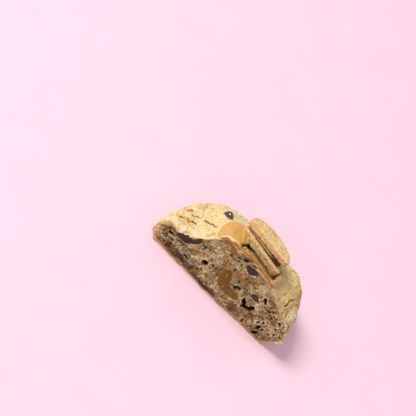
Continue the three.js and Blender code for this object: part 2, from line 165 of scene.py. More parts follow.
test = np.linspace(0, 40, 2000)
print("grain reaches", round(float(np.abs(grain(test, 0 * test, 0 * test, 3, 1)).max()), 2))

# %% [markdown]
# ## From grid to mesh
# Most pieces here are grids: rows of points, each row a closed ring or an open line. Four
# neighbours make a face, and a ring that shrinks to a point is closed with a fan of triangles, so
# that no piece has a hole at its pole. Arrays go into the mesh in one call each, and values that
# a finish needs, such as how deep a place lies in a pore, are stored as attributes.

# %% Mesh makers


def ring_faces(rings, points):
    """Four-cornered faces between neighbouring closed rings of a grid, numbered ring by ring."""
    i, j = np.meshgrid(np.arange(rings - 1), np.arange(points), indexing="ij")
    after = (j + 1) % points
    corners = [i * points + j, i * points + after, (i + 1) * points + after, (i + 1) * points + j]
    return np.stack([c.ravel() for c in corners], 1)


def fan(first, points, pole):
    """Triangles from a closed ring, starting at vertex number first, to one pole."""
    j = np.arange(points)
    return np.stack([first + (j + 1) % points, first + j, np.full(points, pole)], 1)


def closed_shell(grid):
    """Vertices and faces of a shell from a grid of closed rings: each end ring gets a pole at its
    average, joined by a fan."""
    rings, points = grid.shape[:2]
    places = np.concatenate([grid.reshape(-1, 3), [grid[0].mean(0)], [grid[-1].mean(0)]])
    last = (rings - 1) * points
    caps = [fan(0, points, rings * points), fan(last, points, rings * points + 1)[:, ::-1]]
    return places, [ring_faces(rings, points), *caps]


def volume_of(places, faces):
    """Sum over all triangles of the corner product over six: negative if they face inward."""
    total = 0.0
    for block in faces:
        for k in range(1, block.shape[1] - 1):
            a, b, c = places[block[:, 0]], places[block[:, k]], places[block[:, k + 1]]
            total += float((a * np.cross(b, c)).sum()) / 6
    return total


def make_piece(name, places, faces, node, finish, paint=None):
    """A smooth mesh from places in millimetres, facing outward, riding on the part's one body."""
    if volume_of(places, faces) < 0:
        faces = [block[:, ::-1] for block in faces]
    corners = np.concatenate([block.ravel() for block in faces])
    sizes = np.concatenate([np.full(len(block), block.shape[1]) for block in faces])
    mesh = bpy.data.meshes.new(name)
    mesh.vertices.add(len(places))
    mesh.vertices.foreach_set("co", to_row(places).ravel())
    mesh.loops.add(len(corners))
    mesh.loops.foreach_set("vertex_index", corners.astype(np.int32))
    mesh.polygons.add(len(sizes))
    starts = np.concatenate([[0], np.cumsum(sizes)[:-1]])
    mesh.polygons.foreach_set("loop_start", starts.astype(np.int32))
    mesh.update(calc_edges=True)
    mesh.validate()
    mesh.shade_smooth()
    for label, values in (paint or {}).items():
        layer = mesh.attributes.new(label, "FLOAT", "POINT")
        layer.data.foreach_set("value", np.asarray(values, np.float32).ravel())
    piece = bpy.data.objects.new(name, mesh)
    bpy.context.scene.collection.objects.link(piece)
    mesh.materials.append(finish)
    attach(piece, "root")
    if node:
        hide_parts(node)
    triangles = int((sizes - 2).sum())
    low, high = places.min(0), places.max(0)
    print(f"{name}: {triangles} triangles, {np.round(low, 1)} to {np.round(high, 1)} mm")


def outward(grid):
    """Unit normals of a grid of closed rings: the cross product of its two differences."""
    along = np.gradient(grid, axis=0)
    around = np.roll(grid, -1, 1) - np.roll(grid, 1, 1)
    normal = np.cross(along, around)
    return normal / np.maximum(np.linalg.norm(normal, axis=2, keepdims=True), 1e-9)


# %% [markdown]
# ## Finishes from nodes
# A finish is a small network: fields over the object's own coordinates give masks, masks mix
# colours, and a bump node turns the finest field into relief. The helpers below each add one
# node, so that a finish can be read as a list of coats.

# %% Node helpers


def linear(r, g, b):
    """Shader colour for a screen colour of 0 to 255: the screen's curve undone."""
    c = np.array([r, g, b]) / 255.0
    c = np.where(c <= 0.04045, c / 12.92, ((c + 0.055) / 1.055) ** 2.4)
    return (*[float(v) for v in c], 1.0)


def put(tree, kind, inputs=(), **settings):
    """Adds a node, sets its options, and joins or sets its numbered inputs."""
    node = tree.nodes.new(kind)
    for key, value in settings.items():
        setattr(node, key, value)
    for number, value in dict(inputs).items():
        if isinstance(value, bpy.types.NodeSocket):
            tree.links.new(value, node.inputs[number])
        else:
            node.inputs[number].default_value = value
    return node


def coat(tree, mask, under, over):
    """One colour laid over another where the mask is 1."""
    node = put(tree, "ShaderNodeMix", {0: mask, 6: under, 7: over}, data_type="RGBA")
    return node.outputs[2]


def sums(tree, operation, a, b):
    """One arithmetic step on two values."""
    return put(tree, "ShaderNodeMath", {0: a, 1: b}, operation=operation).outputs[0]


def between(tree, value, low, high, start=0.0, end=1.0):
    """The value's way from low to high as a soft step from start to end."""
    inputs = {0: value, 1: low, 2: high, 3: start, 4: end}
    return put(tree, "ShaderNodeMapRange", inputs, interpolation_type="SMOOTHSTEP").outputs[0]


def cloud(tree, where, size, detail=4.0, rough=0.6, warp=0.0):
    """Soft noise whose largest blots are about size millimetres."""
    inputs = {"Vector": where, "Scale": 1000.0 / size, "Detail": detail, "Roughness": rough}
    return put(tree, "ShaderNodeTexNoise", {**inputs, "Distortion": warp}).outputs[0]


def cells(tree, where, size):
    """Distance to the nearest of scattered points, with cells about size millimetres wide."""
    inputs = {"Vector": where, "Scale": 1000.0 / size}
    return put(tree, "ShaderNodeTexVoronoi", inputs, feature="F1").outputs["Distance"]


def stored(tree, label):
    """A value stored on the mesh's points."""
    return put(tree, "ShaderNodeAttribute", attribute_name=label).outputs["Fac"]


def wash(tree, colour, tone, mask, strength=None):
    """The colour with a tone laid over it where the mask is 1, thinned by the strength if given."""
    if strength is not None:
        mask = sums(tree, "MULTIPLY", mask, strength)
    return coat(tree, mask, colour, linear(*tone))


def raised(tree, height, distance, strength=1.0, normal=None):
    """Relief from a height field, distance in millimetres, laid over an earlier relief."""
    inputs = {"Strength": strength, "Distance": distance / 1000.0, "Height": height}
    if normal is not None:
        inputs["Normal"] = normal
    return put(tree, "ShaderNodeBump", inputs).outputs[0]


def new_finish(name, roughness, **constants):
    """A material with its one shader. Returns material, tree, shader and the object's coordinates."""
    material = bpy.data.materials.new(name)
    material.use_nodes = True
    tree = material.node_tree
    shader = tree.nodes["Principled BSDF"]
    shader.inputs["Roughness"].default_value = roughness
    for key, value in constants.items():
        shader.inputs[key.replace("_", " ")].default_value = value
    where = tree.nodes.new("ShaderNodeTexCoord").outputs["Object"]
    return material, tree, shader, where


print("helpers ready")

# %% [markdown]
# ## The dome's form
# A ball of dough slumps in the oven: flat underneath, widest a little above the tray, round on
# top. That is a profile turned about an axis, then pushed out of round and given swells and
# hollows. The profile is a smooth curve through the same shares of radius and height as the solid
# has, so the dressed dough fits it closely.

# %% Dome
PROFILE = np.array([
    (0, 1), (0.15, 0.998), (0.29, 0.985), (0.42, 0.957), (0.54, 0.905), (0.66, 0.83), (0.77, 0.745),
    (0.865, 0.65), (0.94, 0.53), (0.985, 0.39), (1, 0.26), (0.985, 0.13), (0.945, 0.04), (0.88, 0),
])
SWELLS = [  # place x and y, half widths along x and y, rise
    (-34, -3, 14, 13, -16.3), (-17, 13, 14, 12, 2.2), (8, 15, 18, 9, -1.8), (2, 33, 20, 12, -3),
    (36, 26, 13, 13, 4), (-42, 20, 11, 12, 3), (-28, 30, 12, 10, 2.4), (-37, 23, 3, 9, -2.2),
    (37, 0, 10, 8, -3),
]
SPREAD_CENTRE, SPREAD_REACH = np.array([2.5, 9.0]), np.array([24.6, 17.0])


def smooth_through(knots, steps):
    """Points on the Catmull-Rom curve: between two knots a cubic whose slopes are half the
    difference of the neighbours on either side."""
    t = np.linspace(0, len(knots) - 1, steps)
    i = np.minimum(t.astype(int), len(knots) - 2)
    t = (t - i)[:, None]
    a, b, c, d = (knots[np.clip(i + k, 0, len(knots) - 1)] for k in (-1, 0, 1, 2))
    start, end = (c - a) / 2, (d - b) / 2
    bend = (2 * b - 2 * c + start + end) * t**3 + (-3 * b + 3 * c - 2 * start - end) * t**2
    return bend + start * t + b


curve = smooth_through(PROFILE, 4000)
curve[:, 0] = np.clip(curve[:, 0], 0, 1)
WIDEST = int(curve[:, 0].argmax())


def fullness(x, y):
    """How much wider the cookie is than a circle in that direction: two bells over the angle."""
    angle = np.abs(np.arctan2(y, x))
    right_side = 0.062 * np.exp(-(((angle - 0.66) / 0.45) ** 2)) * ramp(0, 0.3, angle)
    return 1 + right_side + 0.02 * np.exp(-(((angle - 2.2) / 0.5) ** 2))


def swell(x, y):
    """Sum of the broad bells."""
    return sum(s[4] * bell(x, y, *s[:4]) for s in SWELLS)


def dome_height(x, y):
    """Height of the crust over a place: the profile read at that share of the radius, plus the
    swells, which fade out towards the foot."""
    share = np.hypot(x, y) / fullness(x, y) / RADIUS
    height = HEIGHT * np.interp(share, curve[:WIDEST, 0], curve[:WIDEST, 1])
    return height + swell(x, y) * ramp(8, 24, height)


def bare_crust(x, y):
    """0 under the spread, 1 well outside it."""
    away = np.hypot((x - SPREAD_CENTRE[0]) / SPREAD_REACH[0], (y - SPREAD_CENTRE[1]) / SPREAD_REACH[1])
    return ramp(0.98, 1.2, away)


def cut_depth(x, z):
    """How far the cut lies behind its plane: ripples of the crumb, and a fuller foot."""
    crumb = ripple(x, 0 * x, z, 11, 0.9) + 0.9 * ripple(x, 3 + 0 * x, z, 5.6, 2.2)
    return -1.5 * bell(x, z, -1, 0, 26, 12) + 0.45 * crumb


print("dome over the biscuit's seat:", round(float(dome_height(np.array(8.0), np.array(15.0))), 1), "mm")

# %% [markdown]
# ## What the knife showed
# The cut runs through chocolate, a soft pocket of filling, air holes and a stained streak. Each is
# written down once, in the plane of the cut: outlines for the pieces, and place, half sizes and
# turn for the holes. The dough reads these lists to make room, the pieces read them to fill it.

# %% Features of the cut
OUTLINES = {
    "choc_chunk_left": [
        (-40.2, 18.8), (-38.4, 20.3), (-34.8, 21.3), (-31.6, 22.7), (-29.2, 24.6), (-27.2, 28.2),
        (-25.6, 28), (-25.2, 26.2), (-26.8, 22.4), (-29.2, 19.4), (-31.4, 17.2), (-34.4, 16.2),
        (-37.6, 16.4),
    ],
    "choc_chunk_upper": [
        (3.8, 38.3), (4.6, 40.3), (8, 41), (12, 41.4), (12.8, 40), (12, 37.7), (9.6, 36.4),
        (6.2, 36.4),
    ],
    "choc_chunk_middle": [
        (18.6, 24.4), (19.6, 27), (22.1, 27.5), (24.6, 25.6), (24.9, 23.2), (22.8, 22.2), (20.2, 22.8),
    ],
    "choc_chunk_lower": [
        (-33.4, 6), (-31, 7.4), (-28.6, 7), (-26.6, 5.8), (-23.8, 5), (-24.6, 3), (-29.4, 2.9),
    ],
    "choc_streak_base": [
        (-12.6, 2.8), (-11, 3.9), (-7, 3.7), (-3, 3.4), (1.6, 2.2), (-1.6, 1.2), (-5, 1), (-9.4, 1.4),
    ],
    "caramel_bit": [
        (27.9, 30.8), (28.4, 32.4), (29.8, 33.3), (32.4, 32.8), (34.8, 32), (35.4, 30.6), (34.6, 29.6),
        (32.2, 29.4), (30, 29.6),
    ],
    "core_filling": [
        (-4.6, 20.6), (-4.6, 24.6), (-2.2, 27.2), (0.4, 27.2), (2.6, 24), (4.4, 20.4), (7, 17.4),
        (10.4, 17.3), (13.6, 17.4), (15.8, 15), (14.6, 11.4), (10.6, 10.2), (6, 9.8), (1.6, 9.8),
        (-2, 12), (-3.9, 16.2),
    ],
}
HOLES = np.array([  # x, z, half length, half width, turn in degrees
    (-42.4, 14.4, 2.3, 1.0, 17), (-43.6, 13.6, 1.0, 0.8, 60), (-40.2, 10.7, 2.0, 1.0, 22),
    (-41.6, 10.4, 0.8, 1.0, 0), (-26, 8.9, 2.1, 1.0, -3), (-15.3, 16.2, 2.3, 1.7, 85),
    (-13.9, 17.2, 0.9, 0.5, 20), (-16.4, 8.9, 0.8, 0.5, -60), (-21.9, 25.9, 1.8, 0.8, 20),
    (-19, 26.6, 1.0, 0.4, 10), (-13.2, 34.7, 0.6, 0.4, 61), (-3.7, 30.1, 0.7, 0.5, 58),
    (0.5, 30.2, 0.9, 0.7, 84), (0.6, 28.4, 0.8, 0.3, -60), (-2.1, 38.9, 1.6, 0.6, 40),
    (1.3, 40.7, 1.9, 0.9, 19), (-6.7, 6.1, 0.9, 0.7, -5), (-8.1, 9.5, 0.8, 0.4, -4),
    (6, 19.4, 2.0, 0.9, 10), (8.2, 19.2, 1.5, 1.3, 0), (10.3, 20.7, 1.8, 1.2, -8),
    (9.3, 18.4, 0.9, 0.7, 0), (19.0, 15.9, 2.9, 1.4, -62), (22.2, 13.4, 3.2, 1.6, 24),
    (25.3, 16.3, 2.7, 1.2, 80), (27.6, 28.6, 2.6, 1.0, -52), (34.4, 12.1, 1.3, 0.9, 50),
    (37, 14.3, 1.3, 0.8, -89), (37.1, 9.4, 2.6, 1.1, 72), (39.7, 9.6, 1.4, 0.6, 70),
    (37.6, 3.4, 2.3, 1.1, 60), (35.8, 26.4, 1.1, 0.6, -56), (33.6, 24.4, 1.8, 0.6, -9),
    (46.8, 13.4, 1.0, 0.5, -75), (42.2, 13.5, 0.7, 0.4, -64), (44.1, 23.3, 1.8, 0.9, -46),
    (17.9, 36.5, 0.8, 0.5, -30), (19.9, 28.9, 0.5, 0.4, -83), (-17.1, 31.7, 0.7, 0.5, 67),
    (-11.6, 21.5, 0.5, 0.3, -87), (-10.4, 26.9, 0.5, 0.3, 77), (-21.5, 18.7, 0.5, 0.4, 85),
    (-43.9, 9.3, 1.7, 0.5, 35), (-42.9, 5.6, 0.9, 0.6, -37), (26.8, 3.4, 1.6, 0.7, -79),
    (26.1, 9.8, 0.5, 0.4, -90), (16.3, 20, 0.5, 0.3, 80), (40.4, 25, 0.9, 0.4, 70),
    (31.2, 21.2, 0.6, 0.4, 84), (12.8, 31.2, 0.6, 0.4, 20), (-33.6, 12.2, 0.6, 0.4, 40),
    (-2.2, 9.6, 0.6, 0.4, 10), (32.6, 5.3, 0.8, 0.5, 52), (44.2, 5.9, 0.8, 0.5, -78),
    (-27, 4.6, 1.5, 0.5, -51), (29, 12.5, 0.7, 0.4, 0),
])
STAINS = [  # chocolate smeared through the crumb: from, to, half width, strength
    ((-37, 14), (-26, 16), 1.3, 0.9), ((-34.5, 7.6), (-19.5, 5.2), 2.7, 0.9),
    ((-38, 4.8), (-18, 3.4), 1.5, 0.8), ((-22, 3.6), (2.5, 2.8), 1.7, 0.85),
    ((-12, 3.2), (3.5, 1.8), 1.7, 0.95), ((10.6, 24.2), (19, 23.4), 0.9, 0.85),
    ((31, 24.6), (35.6, 24), 1.1, 0.8), ((-48.4, 14.8), (-41.8, 19), 1.2, 0.45),
    ((-24.2, 26.2), (-18.2, 28.4), 1.1, 0.55), ((20, 21), (23.5, 20.6), 1.0, 0.6),
    ((36, 8), (38.4, 2.6), 1.3, 0.5),
]
AMBER = [  # spread and butter soaked into the crumb
    ((-12.5, 42.6), (-6.4, 40.4), 2.6, 1.0), ((-17, 42), (-14, 43.6), 1.6, 0.8),
    ((-9, 38.6), (-6, 37.8), 1.8, 0.7), ((2.6, 29), (12, 29.4), 1.9, 0.7),
    ((-5.6, 27.4), (-1, 31), 2.2, 0.6), ((13, 40.6), (21, 39.2), 1.0, 0.5),
    ((-4.6, 15), (-3.8, 22), 1.2, 0.5), ((0.5, 12.5), (5, 9), 1.6, 0.6),
    ((2, 9.4), (14, 9.6), 1.4, 0.5), ((28, 13), (32, 17), 2.0, 0.4),
    ((21.6, 17.4), (23.2, 17), 1.2, 0.9), ((-19, 21), (-15, 24), 1.6, 0.4),
]


def closed_curve(corners, steps):
    """A smooth closed outline through the corners, its points evenly spaced along its length."""
    knots = np.array(corners, float)
    around = smooth_through(np.concatenate([knots[-3:], knots, knots[:4]]), 2000)
    per_knot = 2000 / (len(knots) + 6)
    loop = around[int(3 * per_knot):int((3 + len(knots)) * per_knot) + 1]
    walked = np.concatenate([[0], np.cumsum(np.linalg.norm(np.diff(loop, axis=0), axis=1))])
    at = np.linspace(0, walked[-1], steps + 1)[:-1]
    return np.stack([np.interp(at, walked, loop[:, k]) for k in (0, 1)], 1)


def inside(x, z, corners):
    """Signed distance to a closed outline, positive inside: the nearest edge gives the distance,
    and counting the edges crossed by a level ray gives the side."""
    outline = closed_curve(corners, 48)
    nearest, crossed = np.full(x.shape, 1e9), np.zeros(x.shape, bool)
    for (ax, az), (bx, bz) in zip(outline, np.roll(outline, -1, 0)):
        t = np.clip(((x - ax) * (bx - ax) + (z - az) * (bz - az)) / ((bx - ax) ** 2 + (bz - az) ** 2), 0, 1)
        nearest = np.minimum(nearest, np.hypot(x - ax - t * (bx - ax), z - az - t * (bz - az)))
        spans = (az > z) != (bz > z)
        crossed ^= spans & (x < (bx - ax) * (z - az) / (bz - az + 1e-12) + ax)
    return np.where(crossed, nearest, -nearest)


def smears(x, z, strokes, seed):
    """Strength of soft strokes: one minus the distance to the stroke over its half width, with
    the distance made ragged by grain."""
    total = 0.0 * x
    ragged = grain(x, 0 * x, z, 3.2, seed, 3)
    for (ax, az), (bx, bz), width, strength in strokes:
        t = np.clip(((x - ax) * (bx - ax) + (z - az) * (bz - az)) / ((bx - ax) ** 2 + (bz - az) ** 2), 0, 1)
        distance = np.hypot(x - ax - t * (bx - ax), z - az - t * (bz - az)) / width
        total = np.maximum(total, strength * (1 - ramp(0.3, 1.3, distance + 0.75 * ragged)))
    return total


def air_holes(x, z):
    """Depth of the listed holes, and where their brinks are: an ellipse with an edge made ragged
    by grain, as a steep bowl, with a torn ring round it."""
    depth, brink = 0.0 * x, 0.0 * x
    wobble = 0.38 * grain(x, 0 * x, z, 1.7, 21, 2)
    for cx, cz, long, wide, turn_by in HOLES:
        c, s = np.cos(np.radians(turn_by)), np.sin(np.radians(turn_by))
        u, v = ((x - cx) * c + (z - cz) * s) / long, (-(x - cx) * s + (z - cz) * c) / wide
        off = (np.hypot(u, v) + wobble - 1.15) * np.sqrt(long * wide)
        depth = np.maximum(depth, (1.3 + 1.6 * wide) * (1 - ramp(0.72, 1.15, np.hypot(u, v) + wobble)))
        brink = np.maximum(brink, np.exp(-(((off - 0.3) / 0.35) ** 2)) * ramp(0.4, 0.9, wide))
    return depth, brink * (1 - ramp(0.1, 0.5, depth)) * (1 - 0.7 * ramp(36, 40, -x))


print(len(HOLES), "listed air holes,", len(OUTLINES), "pieces in the cut")

# %% [markdown]
# ## The dough
# A baked skin round an open crumb. They look so different that they are two pieces. The skin is
# built as slices along the cut: each slice is a closed ring that runs over the crust to the back,
# returns along the base, and climbs behind the cut. The crust's part of a ring is the set of
# profile points whose radius, with the slice's own x taken away by Pythagoras, leaves a depth y.
# At the cut the skin turns inward by about a millimetre, and the crumb fills the opening.

# %% Slices of the dough
CRUST_ROWS, WALL_ROWS, FACE_ROWS = 248, 34, 166
TIP_SLICES, DOUGH_SLICES, FACE_SLICES = 19, 334, 548  # slices at each tip, and in all
CRUST_STEPS, BASE_STEPS = 500, 80  # places on a slice's crust and base before they are evened out
BASE_WEIGHT = 0.25  # how much of its length the base counts for when rows are shared out
SKIN, WALL_DEPTH = 0.8, 5.0  # thickness of the skin seen at the cut, and how deep the crumb is set
LIP_SWELL = (3.0, 0, 9.5, 2.2, 2.1)  # the dough stands up behind the lip
EXTRA_SWELLS = [  # under the lobe, behind the lip, beside the notch, under the chip, behind the biscuit
    (-14.8, 0, 5.2, 5, 3.7), LIP_SWELL, (-37, 24, 2.5, 7, -1.0), (-31, 27, 4, 6, 1.0),
    (-25, 22.4, 4.6, 4.6, 0.5), (-15, 33.5, 6, 7, -1.7),
]


def trough(x, y):
    """1 in the scraped furrow between the lip and the biscuit: its left side slants with y."""
    left_side = ramp(-0.9, 1.0, x - (-8.3 + 0.42 * y))
    slope_end = 2.3 + 2.6 * ramp(4, 13, x)
    return left_side * ramp(0.6, slope_end, y) * (1 - ramp(15, 19, y)) * (1 - ramp(19, 23, x))


def seat_change(x, y):
    """What the skin does beyond the plain dome: fuller under the lobe, hollow under the furrow."""
    hollow = (2.0 + 1.1 * ramp(4, 8, y)) * trough(x, y)
    return sum(s[4] * bell(x, y, *s[:4]) for s in EXTRA_SWELLS) - hollow


def seat(x, y):
    """Height of the dough under the spread."""
    return dome_height(x, y) + seat_change(x, y)


def nibble(x, y, z):
    """How far the broken foot at the right end stands back: full below 5 mm, none above 13 mm."""
    return 5.2 * (1 - ramp(4.5, 13, z)) * ramp(36, 50, x) * (1 - ramp(4, 18, y))


def tip_steps(reach, middle_steps):
    """x of the slices: even steps, and at both tips steps that grow with the square."""
    tip = reach - (np.arange(1, TIP_SLICES + 1) / (TIP_SLICES + 1)) ** 2
    return np.concatenate([-tip, np.linspace(-reach + 1, reach - 1, middle_steps), tip[::-1]])


def crust_and_base(x):
    """Places of the crust and base on each slice, evenly spaced along the line but closer on the
    crust than on the base."""
    share = np.abs(x)[:, None] / RADIUS
    place = np.arange(len(curve)) / (len(curve) - 1)
    start = np.interp(share, curve[:WIDEST + 1, 0], place[:WIDEST + 1])
    end = np.interp(share, curve[:WIDEST - 1:-1, 0], place[:WIDEST - 1:-1])
    way = (1 - np.cos(np.linspace(0, np.pi, CRUST_STEPS)))[None] / 2
    at = start + (end - start) * way
    r, h = np.interp(at, place, curve[:, 0]), np.interp(at, place, curve[:, 1])
    y = RADIUS * np.sqrt(np.maximum(r**2 - share**2, 0))
    y = np.concatenate([y, y[:, -1:] * (1 - np.linspace(0, 1, BASE_STEPS)[None])], 1)
    z = np.concatenate([HEIGHT * h, np.repeat(HEIGHT * h[:, -1:], BASE_STEPS, 1)], 1)
    xs = np.repeat(x[:, None], y.shape[1], 1)
    wide = fullness(xs, y)
    xs, y = xs * wide, y * wide
    z = z + (swell(xs, y) + seat_change(xs, y)) * ramp(8, 24, z)
    step = np.linalg.norm(np.diff(np.stack([xs, y, z], 2), axis=1), axis=2)
    step[:, CRUST_STEPS - 1:] *= BASE_WEIGHT
    walked = np.concatenate([np.zeros((len(x), 1)), np.cumsum(step, 1)], 1)
    rows = []
    for k in range(len(x)):  # one slice at a time, all its places at once
        even = np.linspace(0, walked[k, -1], CRUST_ROWS)
        rows.append(np.stack([np.interp(even, walked[k], c[k]) for c in (xs, y, z)], 1))
    return np.array(rows)


def skin_grid(x):
    """The rings: wall rows behind the cut from foot to top, then crust and base back to the foot.
    The wall lies at the cut within the skin's thickness of the edge and far behind it inside."""
    skin = crust_and_base(x)
    top, foot = skin[:, :1], skin[:, -1:]
    way = (1 - np.cos(np.pi * np.arange(1, WALL_ROWS + 1) / (WALL_ROWS + 1)))[None, :, None] / 2
    wall = foot + (top - foot) * way
    tall = (top - foot)[..., 2]
    from_edge = np.minimum(way[..., 0], 1 - way[..., 0]) * tall
    from_edge = np.minimum(from_edge, 1.2 * (RADIUS - np.abs(wall[..., 0])))
    ragged = 0.3 * grain(wall[..., 0], 0 * from_edge, wall[..., 2], 2.2, 11, 2)
    skin[..., 1] += cut_depth(skin[..., 0], skin[..., 2]) * (1 - ramp(0, 6, skin[..., 1]))
    depth = (WALL_DEPTH - 0.1) * ramp(0.9 * SKIN, 1.5 * SKIN, from_edge + ragged) + 0.1
    wall[..., 1] = cut_depth(wall[..., 0], wall[..., 2]) + depth * ramp(0, 0.3, from_edge)
    skin[..., 0] -= nibble(*np.moveaxis(skin, 2, 0))
    wall[..., 0] -= nibble(*np.moveaxis(wall, 2, 0))
    return np.concatenate([wall, skin], 1), top, foot


slice_x = tip_steps(RADIUS, DOUGH_SLICES - 2 * TIP_SLICES)
dough, top_line, foot_line = skin_grid(slice_x)
on_wall = np.zeros(dough.shape[:2], bool)
on_wall[:, :WALL_ROWS] = True
print("skin slices and rows:", dough.shape[:2])

# %% [markdown]
# ### Crust relief
# The crust rose, set and cracked: plates that stand a little higher or lower than their
# neighbours, tears with lifted lips, lumps with creases between them, and a fine sandy grain. The
# plates are cells of scattered points: the nearest point names the plate, and where two points
# are equally near there is a crack. Lumps with creases are the absolute value of a random field.
# Under the spread the crust stays smooth, so that nothing pokes through.

# %% Crust relief
TEARS = [  # x, y, turn in degrees, half length, half width, depth
    (-44.4, 12.1, 26, 1.9, 0.8, 2.2), (-47.2, 13.2, 20, 1.3, 0.45, 1.0), (-46, 6, 4, 2.2, 0.65, 1.6),
    (-42, 6.5, 6, 3.4, 0.6, 1.6), (-37.8, 7, 3, 2.6, 0.55, 1.5), (-39.3, 10.4, 1, 3.4, 0.5, 1.3),
    (-32.3, 10, -7, 2, 0.7, 1.8), (-28.6, 9.7, -2, 3.4, 0.55, 1.5), (-25, 3.8, 30, 2.8, 0.5, 1.2),
    (-37.5, 24.5, -35, 4.6, 0.7, 1.8), (-33, 24.6, 10, 3, 0.5, 1.1), (38.3, 7.2, 88, 2.6, 0.7, 2.1),
    (40.4, 5.6, 5, 2.6, 0.6, 1.8), (43, 4.3, -70, 2, 0.7, 2), (38.9, 12, 77, 3, 0.5, 1.3),
    (31, 33, 35, 6, 0.7, 1.8), (-6, 43.5, 5, 6, 0.7, 1.8), (-33, 35, -45, 4.5, 0.7, 1.6),
    (20, 38, -30, 5, 0.6, 1.5), (45, 17, 60, 4, 0.6, 1.6), (8, 38, 70, 3.5, 0.5, 1.2),
    (-20, 36, -20, 4, 0.5, 1.3),
]


def tears(x, y):
    """Depth of the listed tears and height of their lips: across a tear a bell, along it a half
    circle, and the line bent and thinned by grain."""
    bend = 1.0 * grain(x, y, 0 * x, 3.4, 31, 2) + 0.7 * grain(x, y, 0 * x, 1.3, 33, 2)
    pinch = 0.75 + 0.6 * grain(x, y, 0 * x, 1.7, 32, 2)
    broken = ramp(-0.75, -0.1, grain(x, y, 0 * x, 1.9, 34, 2))
    deep, lip = 0.0 * x, 0.0 * x
    for cx, cy, turn_by, long, wide, depth in TEARS:
        c, s = np.cos(np.radians(turn_by)), np.sin(np.radians(turn_by))
        u, v = (x - cx) * c + (y - cy) * s, -(x - cx) * s + (y - cy) * c + bend
        along = np.sqrt(np.clip(1 - (u / long) ** 2, 0, 1))
        deep = np.maximum(deep, depth * along * broken * np.exp(-((v / (wide * pinch)) ** 2)))
        lip = np.maximum(lip, 0.3 * along * np.exp(-(((np.abs(v) - 2 * wide) / wide) ** 2)))
    return deep, lip


def plates(x, y, z, size, seed):
    """Distance to the nearest crack between plates, and a random height for each plate: one point
    per lattice cube, the gap between the nearest and the second nearest, and the nearest's luck."""
    near, second, level = np.full(x.shape, 1e9), np.full(x.shape, 1e9), 0 * x
    cube = [np.floor(c / size) for c in (x, y, z)]
    for i, j, k in np.ndindex(3, 3, 3):
        c = [cube[0] + i - 1, cube[1] + j - 1, cube[2] + k - 1]
        gap = [
            (n + 0.1 + 0.8 * fixed_random(*c, seed + m)) * size - v
            for m, (n, v) in enumerate(zip(c, (x, y, z)))
        ]
        distance = np.sqrt(sum(g * g for g in gap))
        closer = distance < near
        second = np.where(closer, near, np.minimum(second, distance))
        level = np.where(closer, fixed_random(*c, seed + 5), level)
        near = np.minimum(near, distance)
    return second - near, level


KNOBBLY_MEAN = 0.42  # taken off the knobbly field, so that it goes up and down alike
x, y, z = (dough[..., k] for k in range(3))
bare = bare_crust(x, y)
warp = [v + 2.2 * grain(x, y, z, 5, 12 + k, 3) for k, v in enumerate((x, y, z))]
crack_gap, level = plates(*warp, 13, 21)
small_gap, small_level = plates(*warp, 5.2, 27)
open_here = ramp(0.05, 0.45, grain(x, y, z, 15, 6, 2)) * (1 - 0.8 * bell(x, y, -34, 8, 16, 14))
crack = open_here * (1 - ramp(0.1, 0.8 + 0.5 * grain(x, y, z, 3, 8, 2), crack_gap))
nick = (1 - ramp(0.0, 0.5, small_gap)) * ramp(0.1, 0.5, grain(x, y, z, 8, 7, 1))
lumps = 0.55 * (ripple(x, y, z, 17, 1.3) + 0.7 * ripple(x, y, z, 8.5, 0.4))
knobbly = 0.9 * np.abs(grain(x, y, z, 6.5, 3, 1)) + 0.75 * np.abs(grain(x, y, z, 2.7, 4, 2))
knobbly += 0.42 * grain(x, y, z, 1.3, 5, 2)
tear_depth, lips = tears(x, y)
on_top = ramp(13, 18, z)
crumbly = ramp(30, 44, x) * (1 - ramp(8, 18, y)) * ramp(3, 9, z) * (1 - ramp(26, 32, z))
patchy = grain(x, y, z, 9, 65, 2) + 0.5 * ramp(20, 40, x)
pitted = pores(x + 0.6 * z, y - 0.4 * z, 2.3, 0.22, 64) * ramp(-0.2, 0.4, patchy)
rough = 1 + 0.8 * crumbly + 0.4 * ramp(20, 40, y) + 0.8 * bell(x, y, -34, 3, 14, 5)
proud = lumps + (knobbly - KNOBBLY_MEAN) * rough + 0.5 * (level - 0.5) + 0.35 * (small_level - 0.5)
crust_relief = proud * bare * ramp(1.5, 8, z)
crust_relief -= (1.1 * crack + 0.35 * nick + 0.9 * pitted) * bare * ramp(3, 10, z)
crust_relief += (lips - tear_depth) * on_top * ramp(0.2, 0.9, bare)
crust_relief = np.where(on_wall, 0, crust_relief)
print(f"crust relief from {crust_relief.min():.2f} to {crust_relief.max():.2f} mm")

# %% Move the skin along its normals
normal = outward(dough)
dough = dough + normal * crust_relief[..., None]
dough[..., 2] = np.maximum(dough[..., 2], 0)
underside = ramp(0.5, 0.9, -normal[..., 2]) * (1 - ramp(0.3, 1.2, z))
crevice = ramp(0.15, 0.8, tear_depth) * on_top + 0.9 * crack + 0.4 * nick + ramp(0.1, 0.8, pitted) * 0.6
crevice = np.clip(crevice, 0, 1) * bare
raised_spots = ramp(-0.1, 0.75, knobbly - KNOBBLY_MEAN + 0.5 * (level - 0.5) - 1.2 * crevice)
foot_brown = 0.8 * (1 - ramp(1.0, 12, z)) + 0.45 * ramp(25, 50, x) * (1 - ramp(18, 36, z))
bake = np.clip((foot_brown + 0.42 * ramp(16, 42, x)) * (1 + 0.6 * grain(x, y, z, 7, 61, 2)), 0, 1)
smooth_strip = bell(0, y, 0, 2, 1, 4.5) * ramp(26, 31, x) * (1 - ramp(42, 47, x)) * bare * ramp(14, 20, z)
print("skin height", round(float(dough[..., 2].max()), 1), "mm")

